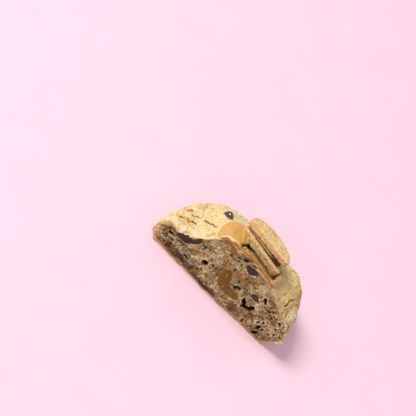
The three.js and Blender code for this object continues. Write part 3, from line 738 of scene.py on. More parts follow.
# %% [markdown]
# ### Crust finish
# Golden dough browns where it is thin and where it stood nearest the tray: pale on the lumps,
# amber in the cracks, brown at the foot and dark beneath. The stored fields carry these places
# over, so colour and relief agree. Sugar grains catch the light as a fine bump.

# %% Crust finish


def pad(values):
    """A grid's values, then the average of each end ring for its pole."""
    return np.concatenate([values.ravel(), [values[0].mean(), values[-1].mean()]])


def crust_finish():
    """Gold blotched by two clouds, pale on lumps, amber in cracks, browned by the stored bake."""
    soft = {"Subsurface_Weight": 0.06, "Subsurface_Scale": 0.002}
    material, tree, shader, where = new_finish("baked_crust", 0.6, **soft)
    shader.inputs["Subsurface Radius"].default_value = (1.0, 0.6, 0.3)
    blotch = between(tree, cloud(tree, where, 10, 5, 0.65, 0.5), 0.38, 0.62)
    colour = coat(tree, blotch, linear(*CRUST["gold"]), linear(*CRUST["tan"]))
    grainy = between(tree, cloud(tree, where, 1.8, 5, 0.85), 0.48, 0.57)
    colour = wash(tree, colour, CRUST["toasted"], grainy, 0.85)
    colour = wash(tree, colour, CRUST["pale"], stored(tree, "lump"), 0.5)
    colour = wash(tree, colour, CRUST["pale"], stored(tree, "floury"), 0.35)
    honey = between(tree, cloud(tree, where, 5, 5, 0.75, 1.2), 0.52, 0.62)
    colour = wash(tree, colour, CRUST["honey"], honey, 0.2)
    flour = between(tree, cloud(tree, where, 1.4, 5, 0.85, 0.8), 0.5, 0.58)
    colour = wash(tree, colour, CRUST["sugar"], flour, 0.9)
    bake_here = stored(tree, "bake")
    not_floury = sums(tree, "SUBTRACT", 1.0, stored(tree, "floury"))
    bake_here = sums(tree, "MULTIPLY", bake_here, not_floury)
    colour = wash(tree, colour, CRUST["brown"], bake_here)
    sooty = between(tree, cloud(tree, where, 1.3, 5, 0.9), 0.53, 0.6)
    sooty = sums(tree, "MULTIPLY", sooty, between(tree, stored(tree, "bake"), 0.1, 0.6, 0.05, 0.8))
    colour = wash(tree, colour, CRUST["speck"], sooty)
    colour = wash(tree, colour, CRUST["grey"], stored(tree, "strip"), 0.8)
    colour = wash(tree, colour, CRUST["amber"], stored(tree, "crevice"))
    dots = between(tree, cells(tree, where, 2.2), 0.08, 0.2, 1.0, 0.0)
    rare = between(tree, cloud(tree, where, 6, 2), 0.58, 0.64)
    colour = wash(tree, colour, CRUST["speck"], sums(tree, "MULTIPLY", dots, rare))
    colour = wash(tree, colour, CRUST["underside"], stored(tree, "underside"))
    tree.links.new(colour, shader.inputs["Base Color"])
    pebbly = raised(tree, cloud(tree, where, 1.8, 6, 0.85), 1.0, 1.0)
    crisp = raised(tree, cells(tree, where, 0.6), 0.16, 0.7, pebbly)
    tree.links.new(crisp, shader.inputs["Normal"])
    return material


CRUST = {
    "gold": (248, 230, 160), "tan": (240, 214, 140), "toasted": (222, 182, 100), "pale": (252, 243, 194),
    "sugar": (255, 248, 216), "brown": (226, 172, 86), "grey": (218, 194, 146), "amber": (208, 150, 52),
    "speck": (120, 74, 34), "underside": (158, 108, 58), "honey": (236, 184, 104),
}
places, blocks = closed_shell(dough)
paint = {"lump": pad(raised_spots), "bake": pad(bake), "crevice": pad(crevice), "underside": pad(underside)}
paint["strip"] = pad(smooth_strip)
floury = 0.8 * bell(x, y, -36, 2.5, 11, 4.5) * on_top * (1 - crevice)
paint["floury"] = pad(np.clip(floury + 1.8 * ramp(38, 44, x) * crumbly, 0, 1))
make_piece("crust", places, blocks, "cookie_half", crust_finish(), paint)

# %% [markdown]
# ### Crumb
# A broken crumb is a sponge: pores everywhere, larger hollows where butter melted, and torn grains
# that stand proud. It is a slab set in the skin's opening, its front finely meshed so that the
# pores are real hollows with real shade. Where chocolate or filling lies in the cut, the crumb
# steps back behind it, so that the piece looks baked in.

# %% Crumb slab
SET_BACK = {"core_filling": 0.5, "caramel_bit": 0.3}  # how far inside an outline the crumb steps back
SLAB_REACH = RADIUS - SKIN * 0.9  # the slab goes a little way under the skin's rim


def crumb_grid():
    """Rings of the slab: the front from foot to top, then few rows down its back."""
    x = tip_steps(SLAB_REACH, FACE_SLICES - 2 * TIP_SLICES)
    top = np.interp(x, slice_x, top_line[:, 0, 2]) - 0.75 * SKIN
    foot = np.interp(x, slice_x, foot_line[:, 0, 2]) + 0.75 * SKIN
    way = np.linspace(0, 1, FACE_ROWS)[None]
    z = foot[:, None] + (top - foot)[:, None] * way
    to_edge = np.minimum(way, 1 - way) * (top - foot)[:, None]
    xs = np.repeat(x[:, None], FACE_ROWS, 1)
    to_edge = np.minimum(to_edge, SLAB_REACH - np.abs(xs))
    xs = xs - nibble(xs, 0 * xs, z)
    front = np.stack([xs, cut_depth(xs, z), z], 2)
    rear = front[:, ::-21].copy()
    rear[..., 1] += WALL_DEPTH + 1.5
    return front, rear, to_edge


face, rear, to_edge = crumb_grid()
x, z = face[..., 0], face[..., 2]
room = np.full(x.shape, -1e9)
for name, corners in OUTLINES.items():
    room = np.maximum(room, inside(x, z, corners) - SET_BACK.get(name, 0.1))
(holes, brink), stain, amber = air_holes(x, z), smears(x, z, STAINS, 41), smears(x, z, AMBER, 42)
brink = brink * ramp(-0.3, 0.4, grain(x, 0 * x, z, 1.5, 57, 2))
torn = 0.5 * grain(x, 0 * x, z, 4.4, 51, 2) + 0.75 * (0.35 - np.abs(grain(x, 0 * x, z, 2.3, 52, 2)))
torn += 0.3 * grain(x, 0 * x, z, 0.95, 54, 2)
small_pores = 0.9 * pores(x, z, 1.3, 0.5, 55) + 1.1 * pores(x + 0.4, z, 2.9, 0.34, 56)
calm = np.clip(0.65 * amber + 0.4 * stain, 0, 0.8)
relief = (torn - small_pores) * (1 - calm) * (0.4 + 0.6 * ramp(0, 1.2, to_edge))
relief -= holes * ramp(0.1, 0.9, to_edge)
relief = np.where(room > 0, np.minimum(relief, 0) * 0.3 - 1.5 * ramp(0, 0.35, room), relief)
ripe = np.clip(0.5 + 0.75 * (torn - 0.6 * small_pores), 0, 1)  # 0 in the pores, 1 on torn grains
print(f"deepest hole {-relief.min():.1f} mm; share of pores {(small_pores > 0.05).mean():.2f}")

# %% Crumb finish


def crumb_finish():
    """Tan crumb in two tones, painted shade in the pores and pale on torn grains, then amber and stains;
    the pale skin band with painted light at the left tip, and painted shade near the foot and in the holes.
    """
    material, tree, shader, where = new_finish("open_crumb", 0.75, Specular_IOR_Level=0.2)
    patch = between(tree, cloud(tree, where, 8, 3, 0.5), 0.38, 0.62)
    colour = coat(tree, patch, linear(*CRUMB["warm"]), linear(*CRUMB["grey"]))
    buttery = between(tree, cloud(tree, where, 4.2, 4, 0.6, 0.5), 0.5, 0.66)
    colour = wash(tree, colour, CRUMB["buttery"], buttery, 0.75)
    ripe_here = stored(tree, "ripe")
    # Painted shade in the pores: darker where the stored share puts a place low.
    colour = wash(tree, colour, CRUMB["pore"], between(tree, ripe_here, 0.5, 0.08, 0.0, 0.85))
    # Darker towards the foot: painted shade, partly a browner baked bottom.
    colour = wash(tree, colour, CRUMB["foot"], stored(tree, "foot"))
    fleck = between(tree, cloud(tree, where, 0.95, 5, 0.85, 0.8), 0.46, 0.56)
    cluster = between(tree, cloud(tree, where, 4.6, 3, 0.6), 0.34, 0.6, 0.35, 1.0)
    torn_flecks = sums(tree, "MULTIPLY", between(tree, ripe_here, 0.42, 0.8), fleck)
    pale = sums(tree, "MULTIPLY", torn_flecks, cluster)
    colour = wash(tree, colour, CRUMB["flake"], pale)
    dark = between(tree, cloud(tree, where, 1.3, 5, 0.85), 0.53, 0.59)
    colour = wash(tree, colour, CRUMB["pore"], dark, 0.9)
    colour = wash(tree, colour, CRUMB["flake"], stored(tree, "brink"), 0.7)
    colour = wash(tree, colour, CRUMB["amber"], stored(tree, "amber"))
    ragged = between(tree, cloud(tree, where, 1.2, 4, 0.7), 0.32, 0.55)
    stain_here = sums(tree, "MULTIPLY", stored(tree, "stain"), ragged)
    colour = wash(tree, colour, CRUMB["stain"], stain_here)
    # The pale band of skin along the slab's edge, wider and lighter at the left tip as painted light.
    colour = wash(tree, colour, CRUMB["rim"], stored(tree, "rim"))
    # Near black in the holes: painted shade.
    colour = wash(tree, colour, CRUMB["hollow"], stored(tree, "hollow"))
    tree.links.new(colour, shader.inputs["Base Color"])
    torn_up = raised(tree, cloud(tree, where, 1.2, 6, 0.75), 0.5, 0.8)
    gritty = raised(tree, cells(tree, where, 0.5), 0.14, 0.6, torn_up)
    tree.links.new(gritty, shader.inputs["Normal"])
    return material


# Of these, the foot tone and the near black are painted shade; the pore tone is painted shade in the pores
# and also the colour of random dark flecks.
CRUMB = {
    "warm": (148, 122, 70), "grey": (168, 150, 102), "buttery": (142, 104, 43), "pore": (60, 39, 18),
    "foot": (108, 78, 40), "flake": (250, 236, 192), "amber": (146, 106, 46), "stain": (70, 50, 42),
    "rim": (238, 200, 134), "hollow": (24, 11, 5),
}
front_line_of_slab = face + np.array([0, -1.0, 0]) * relief[..., None]
ring = np.concatenate([front_line_of_slab, rear], 1)
places, blocks = closed_shell(ring)
plain_rear = np.zeros(rear.shape[:2])  # the rear of the slab has none of the fields
# Mask of the holes for the near-black painted shade.
hollow = ramp(0.35, 1.3, holes)
# Widens and lightens the skin band at the left tip: painted light.
left_end_light = ramp(40, 49, -x)
rim = np.exp(-((np.maximum(to_edge, 0) / (0.7 + 1.6 * left_end_light)) ** 2)) * (0.7 + 0.25 * left_end_light)
# Darker towards the foot: painted shade, partly a browner baked bottom.
foot_shade = 0.6 * (1 - ramp(3, 15, z)) * (1 - 0.6 * amber)
dry_amber = amber * (1 - ramp(0.8, 1.6, holes))
paint = {"foot": foot_shade, "hollow": hollow, "stain": stain, "amber": dry_amber, "ripe": ripe}
paint.update(rim=rim, brink=brink)
paint = {label: pad(np.concatenate([values, plain_rear], 1)) for label, values in paint.items()}
make_piece("crumb", places, blocks, None, crumb_finish(), paint)

# %% [markdown]
# ## Chocolate, caramel and filling in the cut
# A knife smears soft chocolate: the cut through a chunk is smooth, and its rim dives under the
# crumb. Each piece is a pebble whose front follows the cut and whose rim is the written outline:
# rings shrink from the rim to the middle in front and again behind. Near the rim the front sinks
# along a quarter circle, so the edge that shows is where it meets the uneven crumb.

# %% Pieces baked into the dough
FRONT_RINGS = 24


def sunk_piece(name, depth, proud, rim_round, sink, steps=120):
    """Rings scaled from the outline to its middle: in front on the cut, behind at the depth."""
    outline = closed_curve(OUTLINES[name], steps)
    at = outline[:, :1], 0 * outline[:, :1], outline[:, 1:]
    outline = outline + np.concatenate([grain(*at, 1.7, seed, 3) for seed in (71, 73)], 1) * 0.5
    middle = outline.mean(0)
    front = np.linspace(0.04, 1, FRONT_RINGS) ** 0.8
    shrink = np.concatenate([front, [1.0, 0.97, 0.9, 0.7, 0.4, 0.08]])
    flat = middle + (outline[None] - middle) * shrink[:, None, None]
    gx, gz = flat[..., 0], flat[..., 1]
    distance = (1 - front)[:, None] * np.linalg.norm(outline - middle, axis=1)[None]
    dip = sink * (1 - np.sqrt(np.clip(1 - (1 - np.clip(distance / rim_round, 0, 1)) ** 2, 0, 1)))
    fx, fz = gx[:FRONT_RINGS], gz[:FRONT_RINGS]
    surface = cut_depth(fx, fz) - proud + dip + 0.16 * grain(fx, 0 * fx, fz, 3.4, 72, 3)
    behind = surface[-1:] + (depth - surface[-1:]) * np.array([0.3, 0.8, 1, 1, 1, 1])[:, None]
    grid = np.stack([gx, np.concatenate([surface, behind]), gz], 2)
    near_rim = 1 - ramp(0.2, 0.9 * rim_round, np.concatenate([distance, 0 * behind]))
    return *closed_shell(grid), {"near_rim": pad(near_rim)}


def chocolate_finish(name, tone, roughness):
    """Dark brown with a dull bloom, knife drags along the cut and a soft sheen."""
    material, tree, shader, where = new_finish(name, roughness, Specular_IOR_Level=0.3)
    bloom = between(tree, cloud(tree, where, 2.6, 5, 0.7, 0.6), 0.4, 0.6)
    lighter = [v + lift for v, lift in zip(tone, (30, 24, 20))]
    colour = coat(tree, sums(tree, "MULTIPLY", bloom, 0.8), linear(*tone), linear(*lighter))
    flecks = between(tree, cloud(tree, where, 0.9, 4, 0.7), 0.56, 0.66)
    colour = wash(tree, colour, (132, 92, 56), flecks, 0.45)
    tree.links.new(colour, shader.inputs["Base Color"])
    drawn_out = {"Vector": where, "Scale": (0.25, 1.0, 1.0)}
    drags = put(tree, "ShaderNodeMapping", drawn_out, vector_type="POINT").outputs[0]
    tree.links.new(raised(tree, cloud(tree, drags, 0.8, 4), 0.2, 0.7), shader.inputs["Normal"])
    return material


def filling_finish(name, light, dark, roughness):
    """Smooth paste: two close browns in slow blots, a few pale grains, a low gloss."""
    material, tree, shader, where = new_finish(name, roughness, Specular_IOR_Level=0.2)
    blot = between(tree, cloud(tree, where, 4.5, 4, 0.6, 0.6), 0.38, 0.64)
    colour = coat(tree, blot, linear(*dark), linear(*light))
    grains = between(tree, cloud(tree, where, 1.0, 4, 0.75), 0.6, 0.7)
    colour = wash(tree, colour, (200, 160, 104), grains, 0.4)
    mottle = between(tree, cloud(tree, where, 1.3, 5, 0.8, 0.5), 0.4, 0.52)
    colour = wash(tree, colour, CRUMB["warm"], sums(tree, "MULTIPLY", stored(tree, "near_rim"), mottle))
    tree.links.new(colour, shader.inputs["Base Color"])
    tree.links.new(raised(tree, cloud(tree, where, 1.6, 5), 0.3, 0.6), shader.inputs["Normal"])
    return material


chocolate = chocolate_finish("cut_chocolate", (40, 25, 18), 0.55)
speckled = chocolate_finish("smeared_chocolate", (56, 37, 27), 0.65)
caramel = filling_finish("red_caramel", (146, 100, 46), (114, 72, 30), 0.45)
filling = filling_finish("core_paste", (126, 90, 32), (110, 76, 24), 0.6)
SUNK = {  # depth behind the cut, how proud of it, rounding and sinking of the rim, finish, slot
    "choc_chunk_left": (8, 0.15, 0.8, 0.3, chocolate, "chocolate"),
    "choc_chunk_upper": (7, 0.15, 0.7, 0.3, chocolate, "chocolate"),
    "choc_chunk_middle": (5, 0.0, 0.8, 0.5, speckled, "chocolate"),
    "choc_chunk_lower": (5, 0.0, 1.0, 0.6, speckled, "chocolate"),
    "choc_streak_base": (4, 0.0, 0.8, 0.5, speckled, "chocolate"),
    "caramel_bit": (4, 0.0, 1.2, 0.4, caramel, "caramel"),
    "core_filling": (9, 0.1, 2.2, 0.5, filling, "filling"),
}
for name, (depth, proud, rim_round, sink, finish, slot) in SUNK.items():
    places, faces, fields = sunk_piece(name, depth, proud, rim_round, sink)
    make_piece(name + "_dressed", places, faces, name, finish, fields)

# %% [markdown]
# ## The chip on the crust
# A baking chip keeps its drop shape in the oven but slumps and turns glossy, and the dough creeps
# up round its foot. It is a turned drop, longer one way and narrower towards its point: radius as
# a function of height, then stretched along its length.

# %% Chip
CHIP_AT, CHIP_TURN = np.array([-24.9, 20.6]), np.radians(-42)
CHIP_RADIUS, CHIP_RISE, CHIP_SUNK = 2.7, 2.3, 1.6  # millimetres, above and below the crust


def chip_shell():
    """Rings whose radius falls with the height as a drop does, leaning with the crust under it."""
    way = np.linspace(0, 1, 40)[1:-1]
    height = -CHIP_SUNK + (CHIP_RISE + CHIP_SUNK) * (0.5 - 0.5 * np.cos(np.pi * way))
    share = (height + CHIP_SUNK) / (CHIP_RISE + CHIP_SUNK)
    radius = CHIP_RADIUS * np.sqrt(np.clip(1 - share**2.6, 0, 1)) * ramp(-0.05, 0.16, share) ** 0.5
    angle = np.linspace(0, 2 * np.pi, 72, endpoint=False)
    long, cross = radius[:, None] * np.cos(angle) * 1.4, radius[:, None] * np.sin(angle)
    cross = cross * (1 - 0.4 * long / CHIP_RADIUS / 1.4)
    pz = height[:, None] * (1 - 0.22 * long / CHIP_RADIUS) + 0.12 * grain(long, cross, 0 * long, 2.0, 81, 2)
    px = long * np.cos(CHIP_TURN) - cross * np.sin(CHIP_TURN)
    py = long * np.sin(CHIP_TURN) + cross * np.cos(CHIP_TURN)
    px, py = px + CHIP_AT[0], py + CHIP_AT[1]
    slope = [float(seat(*(CHIP_AT + d))[()] - seat(*(CHIP_AT - d))[()]) / 4 for d in ([2, 0], [0, 2])]
    ground = float(seat(*CHIP_AT)) + slope[0] * (px - CHIP_AT[0]) + slope[1] * (py - CHIP_AT[1])
    return closed_shell(np.stack([px, py, pz + ground + 0.3], 2))


shiny = chocolate_finish("glossy_chocolate", (62, 42, 36), 0.2)
shine = shiny.node_tree.nodes["Principled BSDF"].inputs
shine["Coat Weight"].default_value, shine["Coat Roughness"].default_value = 1.0, 0.2
places, faces = chip_shell()
make_piece("choc_chip_dressed", places, faces, "choc_chip_top", shiny)

# %% [markdown]
# ## The spread
# Caramelised-biscuit spread is a thick paste: it slumps to a round-edged slick, piles up in a lobe
# at the cut, stands along the cut as a thin glossy lip, and fills the corner where the biscuit
# pushed it. Seen from above it is a rounded patch cut straight in front, so the grid runs round
# the patch and from its middle to its edge. Its height over the dome is a sum of bells, a furrow
# is taken out of it, and near the edge it falls like a quarter circle.

# %% Spread shape


def patch_outline(angle):
    """Reach of the patch in that direction, in shares of its half sizes: fuller at both ends,
    short at the back right."""
    ends = 0.04 * np.cos(2 * angle) - 0.01 * np.cos(angle)
    back_right = -0.07 * np.exp(-(((angle - 0.65) / 0.35) ** 2))
    return 1 + ends + back_right + 0.012 * np.sin(9 * angle)


def front_line(x):
    """y of the lip over the cut: furthest forward at the lobe and at the blob on the right."""
    forward = 0.8 * bell(x, 0, -13, 0, 5.5, 1) + 0.4 * bell(x, 0, 23, 0, 3, 1)
    line = -0.45 - forward + 0.45 * bell(x, 0, -5.4, 0, 1.3, 1)
    return line + 0.16 * np.sin(1.1 * x) + 0.1 * np.sin(2.9 * x)


def past_fold(x, y):
    """How far a place lies to the right of the fold, which is a slanting line."""
    return x + 6.6 + 0.34 * y


def spread_top(x, y):
    """Height of the spread over the plain dome: a slick, the lobe in two humps, the heap round
    the biscuit's left end, the squeezed-out blob on the right, the ridge of the lip with its dip
    beside the lobe; the furrow brings it down below the dome."""
    lobe = 3.9 * bell(x, y, -17.4, 1.5, 3.3, 7) + 3.0 * bell(x, y, -11, 1, 4.2, 7)
    heap = 1.7 * bell(x, y, -13.5, 14, 5, 6) - 0.5 * bell(x, y, -14, 9, 3, 4)
    blob = 1.9 * bell(x, y, 25, 8, 3.3, 8) + 1.3 * bell(x, y, 22.8, 2.5, 3, 3.2)
    ridge = (0.8 * ramp(-5, -3.4, x) + 0.2 * np.sin(0.8 * x + 1)) * bell(0, y, 0, 0.3, 1, 0.9)
    ridge += LIP_SWELL[4] * bell(x, y, *LIP_SWELL[:4])
    off_fold = past_fold(x, y)
    ridge += 0.8 * np.exp(-((off_fold / 1.2) ** 2)) * ramp(1.5, 5, y) * (1 - ramp(15, 19, y))
    folds = 0.22 * ripple(x, y, 0 * x, 9, 0.7) + 0.12 * grain(x, y, 0 * x, 3.5, 91, 2)
    plain = 1.35 + lobe + heap + blob + ridge + folds - 2.6 * bell(x, y, -5.4, -0.3, 1.2, 1.5)
    furrow = trough(x, y)
    floor = -1.65 - 1.1 * ramp(4, 8, y) + 0.3 * grain(x, y, 0 * x, 1.6, 92, 2)
    return plain * (1 - furrow) + floor * furrow


def spread_shell(around=440, out=92):
    """Top rings from the middle to the edge, then bottom rings back to the middle."""
    angle = np.linspace(0, 2 * np.pi, around, endpoint=False)
    reach = patch_outline(np.where(angle > np.pi, angle - 2 * np.pi, angle))
    edge = SPREAD_CENTRE + SPREAD_REACH * reach[:, None] * np.stack([np.cos(angle), np.sin(angle)], 1)
    arm = edge - SPREAD_CENTRE
    stop = np.ones(around)
    for _ in range(3):  # where the arm meets the wavy front line
        meets = front_line(SPREAD_CENTRE[0] + arm[:, 0] * stop) - SPREAD_CENTRE[1]
        stop = np.where(arm[:, 1] < 0, np.minimum(meets / np.minimum(arm[:, 1], -1e-6), 1.0), 1.0)
    way = np.linspace(0, 1, out)
    way = np.concatenate([[0.01], 1 - (1 - way[1:]) ** 1.6])
    share = way[:, None] * stop[None]
    px, py = (SPREAD_CENTRE[k] + arm[:, k] * share for k in (0, 1))
    from_front = py - front_line(px)
    from_side = (1 - share) * np.linalg.norm(arm, axis=1)[None]
    inward = np.clip(np.minimum(from_front, from_side), 0, None)
    ground = seat(px, np.maximum(py, 0))
    depth = np.maximum(dome_height(px, np.maximum(py, 0)) + spread_top(px, py) - ground, 0.25)
    hangs = 1 - ramp(0.2, 1.2, from_front)
    edge_lift = 0.3 * depth * hangs * (1 - ramp(0, 1.0, inward))
    quarter = np.clip(1 - inward / np.minimum(0.75 * depth, 2.6), 0, 1)
    lift = edge_lift + (depth - edge_lift) * np.sqrt(1 - quarter**2)
    top = np.stack([px, py, ground + lift], 2)
    bottom = np.stack([px, py, ground + edge_lift - np.minimum(inward, 0.5)], 2)[::-1]
    # Painted shade on the lower side of the hanging edge and, below, on the whole bottom; partly the deeper
    # amber of the paste's thick edge.
    low_side = hangs * (1 - ramp(0.45, 1.0, lift / depth))
    # A painted highlight along the lobe's rounded top edge, partly paler where the paste is thin.
    crest_highlight = np.exp(-(((from_front - 1.35) / 0.42) ** 2)) * bell(px, 0, -15.5, 0, 4.6, 1)
    lip = (1 - ramp(0.9, 1.7, from_front)) * ramp(-6, -4, px) * (1 - ramp(19, 23, px))
    under = {"low_side": 1.0, "crest_highlight": 0.0, "lip": 0.0}
    fields = {"low_side": low_side, "crest_highlight": crest_highlight, "lip": lip}
    fields = {name: pad(np.concatenate([f, under[name] + 0 * f[1:]])) for name, f in fields.items()}
    return np.concatenate([top, bottom[1:]]), fields


def spread_finish():
    """Amber paste with painted light: a painted highlight along the lobe's rounded top edge, a painted
    pink bounce from the floor on the fold's wall, painted shade on the lip's lower side and underneath,
    brown painted shade in the furrow and near black under the biscuit, greyer painted shade in the blob.
    """
    soft = {"Subsurface_Weight": 0.2, "Subsurface_Scale": 0.0025}
    material, tree, shader, where = new_finish("biscuit_spread", 0.3, **soft)
    shader.inputs["Coat Weight"].default_value, shader.inputs["Coat Roughness"].default_value = 0.22, 0.15
    shader.inputs["Subsurface Radius"].default_value = (1.0, 0.5, 0.15)
    blot = between(tree, cloud(tree, where, 7, 4, 0.55, 0.6), 0.38, 0.62)
    colour = coat(tree, blot, linear(*SPREAD["amber"]), linear(*SPREAD["tan"]))
    streak = between(tree, cloud(tree, where, 2.4, 4, 0.6, 1.0), 0.52, 0.66)
    colour = wash(tree, colour, SPREAD["pale"], streak, 0.5)
    # Painted pink bounce light from the rose floor on the fold's wall.
    colour = wash(tree, colour, SPREAD["floor_bounce_pink"], stored(tree, "fold"), 0.8)
    # Painted highlight along the lobe's rounded top edge, partly thinner, paler paste.
    colour = wash(tree, colour, SPREAD["light"], stored(tree, "crest_highlight"), 0.85)
    # Greyer over the squeezed-out blob: painted shade with a painted pink floor reflection.
    colour = wash(tree, colour, SPREAD["grey"], stored(tree, "blob"))
    # Brown in the furrow: painted shade in the scraped trough.
    colour = wash(tree, colour, SPREAD["brown"], stored(tree, "furrow"))
    # Near black under the biscuit's overhanging edge: painted shade.
    colour = wash(tree, colour, SPREAD["dark"], stored(tree, "under_biscuit_shade"))
    colour = wash(tree, colour, SPREAD["glow"], stored(tree, "lip"))
    # Deeper amber on the lip's lower side and underneath: painted shade, partly the paste's thick edge.
    colour = wash(tree, colour, SPREAD["deep"], stored(tree, "low_side"))
    tree.links.new(colour, shader.inputs["Base Color"])
    smooth = raised(tree, cloud(tree, where, 5, 3), 0.6, 0.5)
    tree.links.new(raised(tree, cloud(tree, where, 0.9, 4), 0.08, 0.5, smooth), shader.inputs["Normal"])
    return material


# Painted light among these tones: the near-white one is a painted highlight, the pink tan one a painted
# floor bounce; the grey, the brown and the near black are painted shade, and the deep amber partly so.
SPREAD = {
    "amber": (204, 156, 70), "tan": (208, 164, 86), "pale": (226, 190, 128), "grey": (178, 146, 98),
    "brown": (98, 52, 14), "deep": (154, 104, 22), "floor_bounce_pink": (214, 170, 106), "light": (250, 226, 176),
    "glow": (184, 128, 30), "dark": (20, 8, 2),
}
spread_grid, fields = spread_shell()
places, faces = closed_shell(spread_grid)
sx, sy = places[:, 0], places[:, 1]
off_fold, in_furrow = past_fold(sx, sy), trough(sx, sy)
uneven = sy + 0.04 * sx + 0.9 * grain(sx, sy, 0 * sx, 2.4, 93, 2)
# The furrow's two fields are painted shade: brown over the trough, near black under the biscuit's edge.
fields["furrow"] = ramp(0, 0.45, in_furrow)
fields["under_biscuit_shade"] = ramp(0.1, 0.8, in_furrow) * ramp(1.0, 2.3, uneven)
# Where the painted pink bounce from the floor goes: the wall to the right of the fold.
fold = ramp(-0.4, 0.6, off_fold) * (1 - ramp(3, 5, off_fold))
fields["fold"] = fold * ramp(0.5, 3, sy) * (1 - ramp(14, 18, sy))
# Where the blob is greyed with painted shade and floor reflection.
fields["blob"] = bell(sx, sy, 24.6, 6, 4.2, 8)
make_piece("spread_dressed", places, faces, "spread_top", spread_finish(), fields)

# %% [markdown]
# ## The sandwich biscuit
# Two thin wafers with cream between, broken in half: straight in front, round behind, corners
# softened. A wafer is its outline carried through a profile: in from the middle of one face, over
# a round edge, down the side, and back to the middle of the other face. The wafers lean with the
# dome and gape at the right, where the cream has pulled away.

# %% Wafer shape
WAFER_RADIUS, WAFER_DEPTH, LOWER_THICK, UPPER_THICK = 17.8, 15.0, 5.2, 4.3
UPPER_TAPER = 0.006  # share of its thickness the upper wafer loses per millimetre towards the right


def wafer_frame(place, yaw, fall, lean):
    """Columns along the broken edge, to the back and up, then the place of the edge's middle."""
    yaw, fall, lean = np.radians([yaw, fall, lean])
    along = np.array([np.cos(yaw) * np.cos(fall), -np.sin(yaw) * np.cos(fall), -np.sin(fall)])
    to_back = np.array([np.sin(yaw) * np.cos(lean), np.cos(yaw) * np.cos(lean), -np.sin(lean)])
    to_back = to_back - along * (to_back @ along)
    to_back = to_back / np.linalg.norm(to_back)
    return np.stack([along, to_back, np.cross(along, to_back)]), np.array(place)


LOWER = wafer_frame((3.2, 10.3, 42), 9, 6.2, 17)
UPPER = wafer_frame((3.4, 12.4, 50.5), 8, 2, 16.5)


def half_disc(radius, corner, steps):
    """Outline of a half disc: belly of the broken edge, corner arc, big arc, corner arc."""
    inner = np.sqrt((radius - corner) ** 2 - corner**2)
    start = np.arctan2(corner, inner)
    t = np.linspace(0, 1, 300)
    belly = np.stack([inner * (2 * t - 1), -0.9 * 2 * t * (1 - t)], 1)
    a = -np.pi / 2 + t * (start + np.pi / 2)
    first = np.stack([inner + corner * np.cos(a), corner + corner * np.sin(a)], 1)
    a = start + t * (np.pi - 2 * start)
    arc = np.stack([radius * np.cos(a), radius * np.sin(a)], 1)
    a = np.pi - start + t * (start + np.pi / 2)
    second = np.stack([-inner + corner * np.cos(a), corner + corner * np.sin(a)], 1)
    line = np.concatenate([belly, first, arc, second])
    line[:, 1] *= WAFER_DEPTH / WAFER_RADIUS
    walked = np.concatenate([[0], np.cumsum(np.linalg.norm(np.diff(line, axis=0), axis=1))])
    at = np.linspace(0, walked[-1], steps + 1)[:-1]
    return np.stack([np.interp(at, walked, line[:, k]) for k in (0, 1)], 1)


def wafer_local(thick, taper, edge, seed, steps=260):
    """The wafer in its own frame: rings from the middle of the under side round to the top, each
    height times one minus the taper times x. Along the upper corner of its broken edge it stores a
    painted highlight, on the broken side below that painted shade that darkens towards the right,
    and painted shade where the surface lies low."""
    line = half_disc(WAFER_RADIUS - edge, 2.2, steps)
    middle = np.array([0.0, 0.42 * WAFER_DEPTH])
    tangent = np.roll(line, -1, 0) - np.roll(line, 1, 0)
    out = np.stack([tangent[:, 1], -tangent[:, 0]], 1)
    out = out / np.linalg.norm(out, axis=1, keepdims=True)
    face = np.linspace(0.02, 1, 34)
    bend = np.linspace(0, np.pi / 2, 7)[1:]
    grow = np.concatenate([face, np.ones(6), np.ones(7), np.ones(6), face[::-1]])
    push = np.concatenate([0 * face, edge * np.sin(bend), np.full(7, edge), edge * np.cos(bend), 0 * face])
    side = np.linspace(edge, thick - edge, 9)[1:-1]
    low_edge, high_edge = edge * (1 - np.cos(bend)), thick - edge * (1 - np.sin(bend))
    height = np.concatenate([0 * face, low_edge, side, high_edge, thick + 0 * face])
    flat = middle + (line[None] - middle) * grow[:, None, None] + out[None] * push[:, None, None]
    grid = np.concatenate([flat, np.repeat(height[:, None, None], steps, 1)], 2)
    upper_corner = np.exp(-(((grid[..., 2] - thick + 0.25) / 0.4) ** 2))
    grid[..., 2] *= 1 - taper * grid[..., 0]
    gx, gy, gz = (grid[..., k] for k in range(3))
    broken = 1 - ramp(0.2, 1.6, gy)
    on_side = np.where(push > 0.5 * edge, 1.0, 0.0)[:, None] * np.ones(steps)
    relief = 0.14 * grain(gx, gy, gz, 1.1, seed, 3) + 0.14 * grain(gx, gy, gz, 4, seed + 1, 2)
    relief -= 0.5 * np.maximum(pores(gx, gy, 4.2, 0.22, seed + 2), 0) * (1 - on_side)
    crumbled = 0.45 * grain(gx, gy, gz, 1.6, seed + 3, 3) - 0.5 * pores(gx, gz, 1.5, 0.45, seed + 4)
    relief += broken * crumbled
    # Painted shade on the broken side below its lit corner, darker towards the right.
    worn = broken * on_side * (1 - upper_corner) * ramp(-14, 16, gx)
    # Painted shade where the surface lies low, and a painted highlight along the upper corner of the broken
    # edge.
    fields = {"broken": broken * on_side, "dip_shade": np.clip(relief * -2.2, 0, 1)}
    fields.update(crisp=broken * upper_corner, worn=worn)
    return grid + outward(grid) * relief[..., None], fields


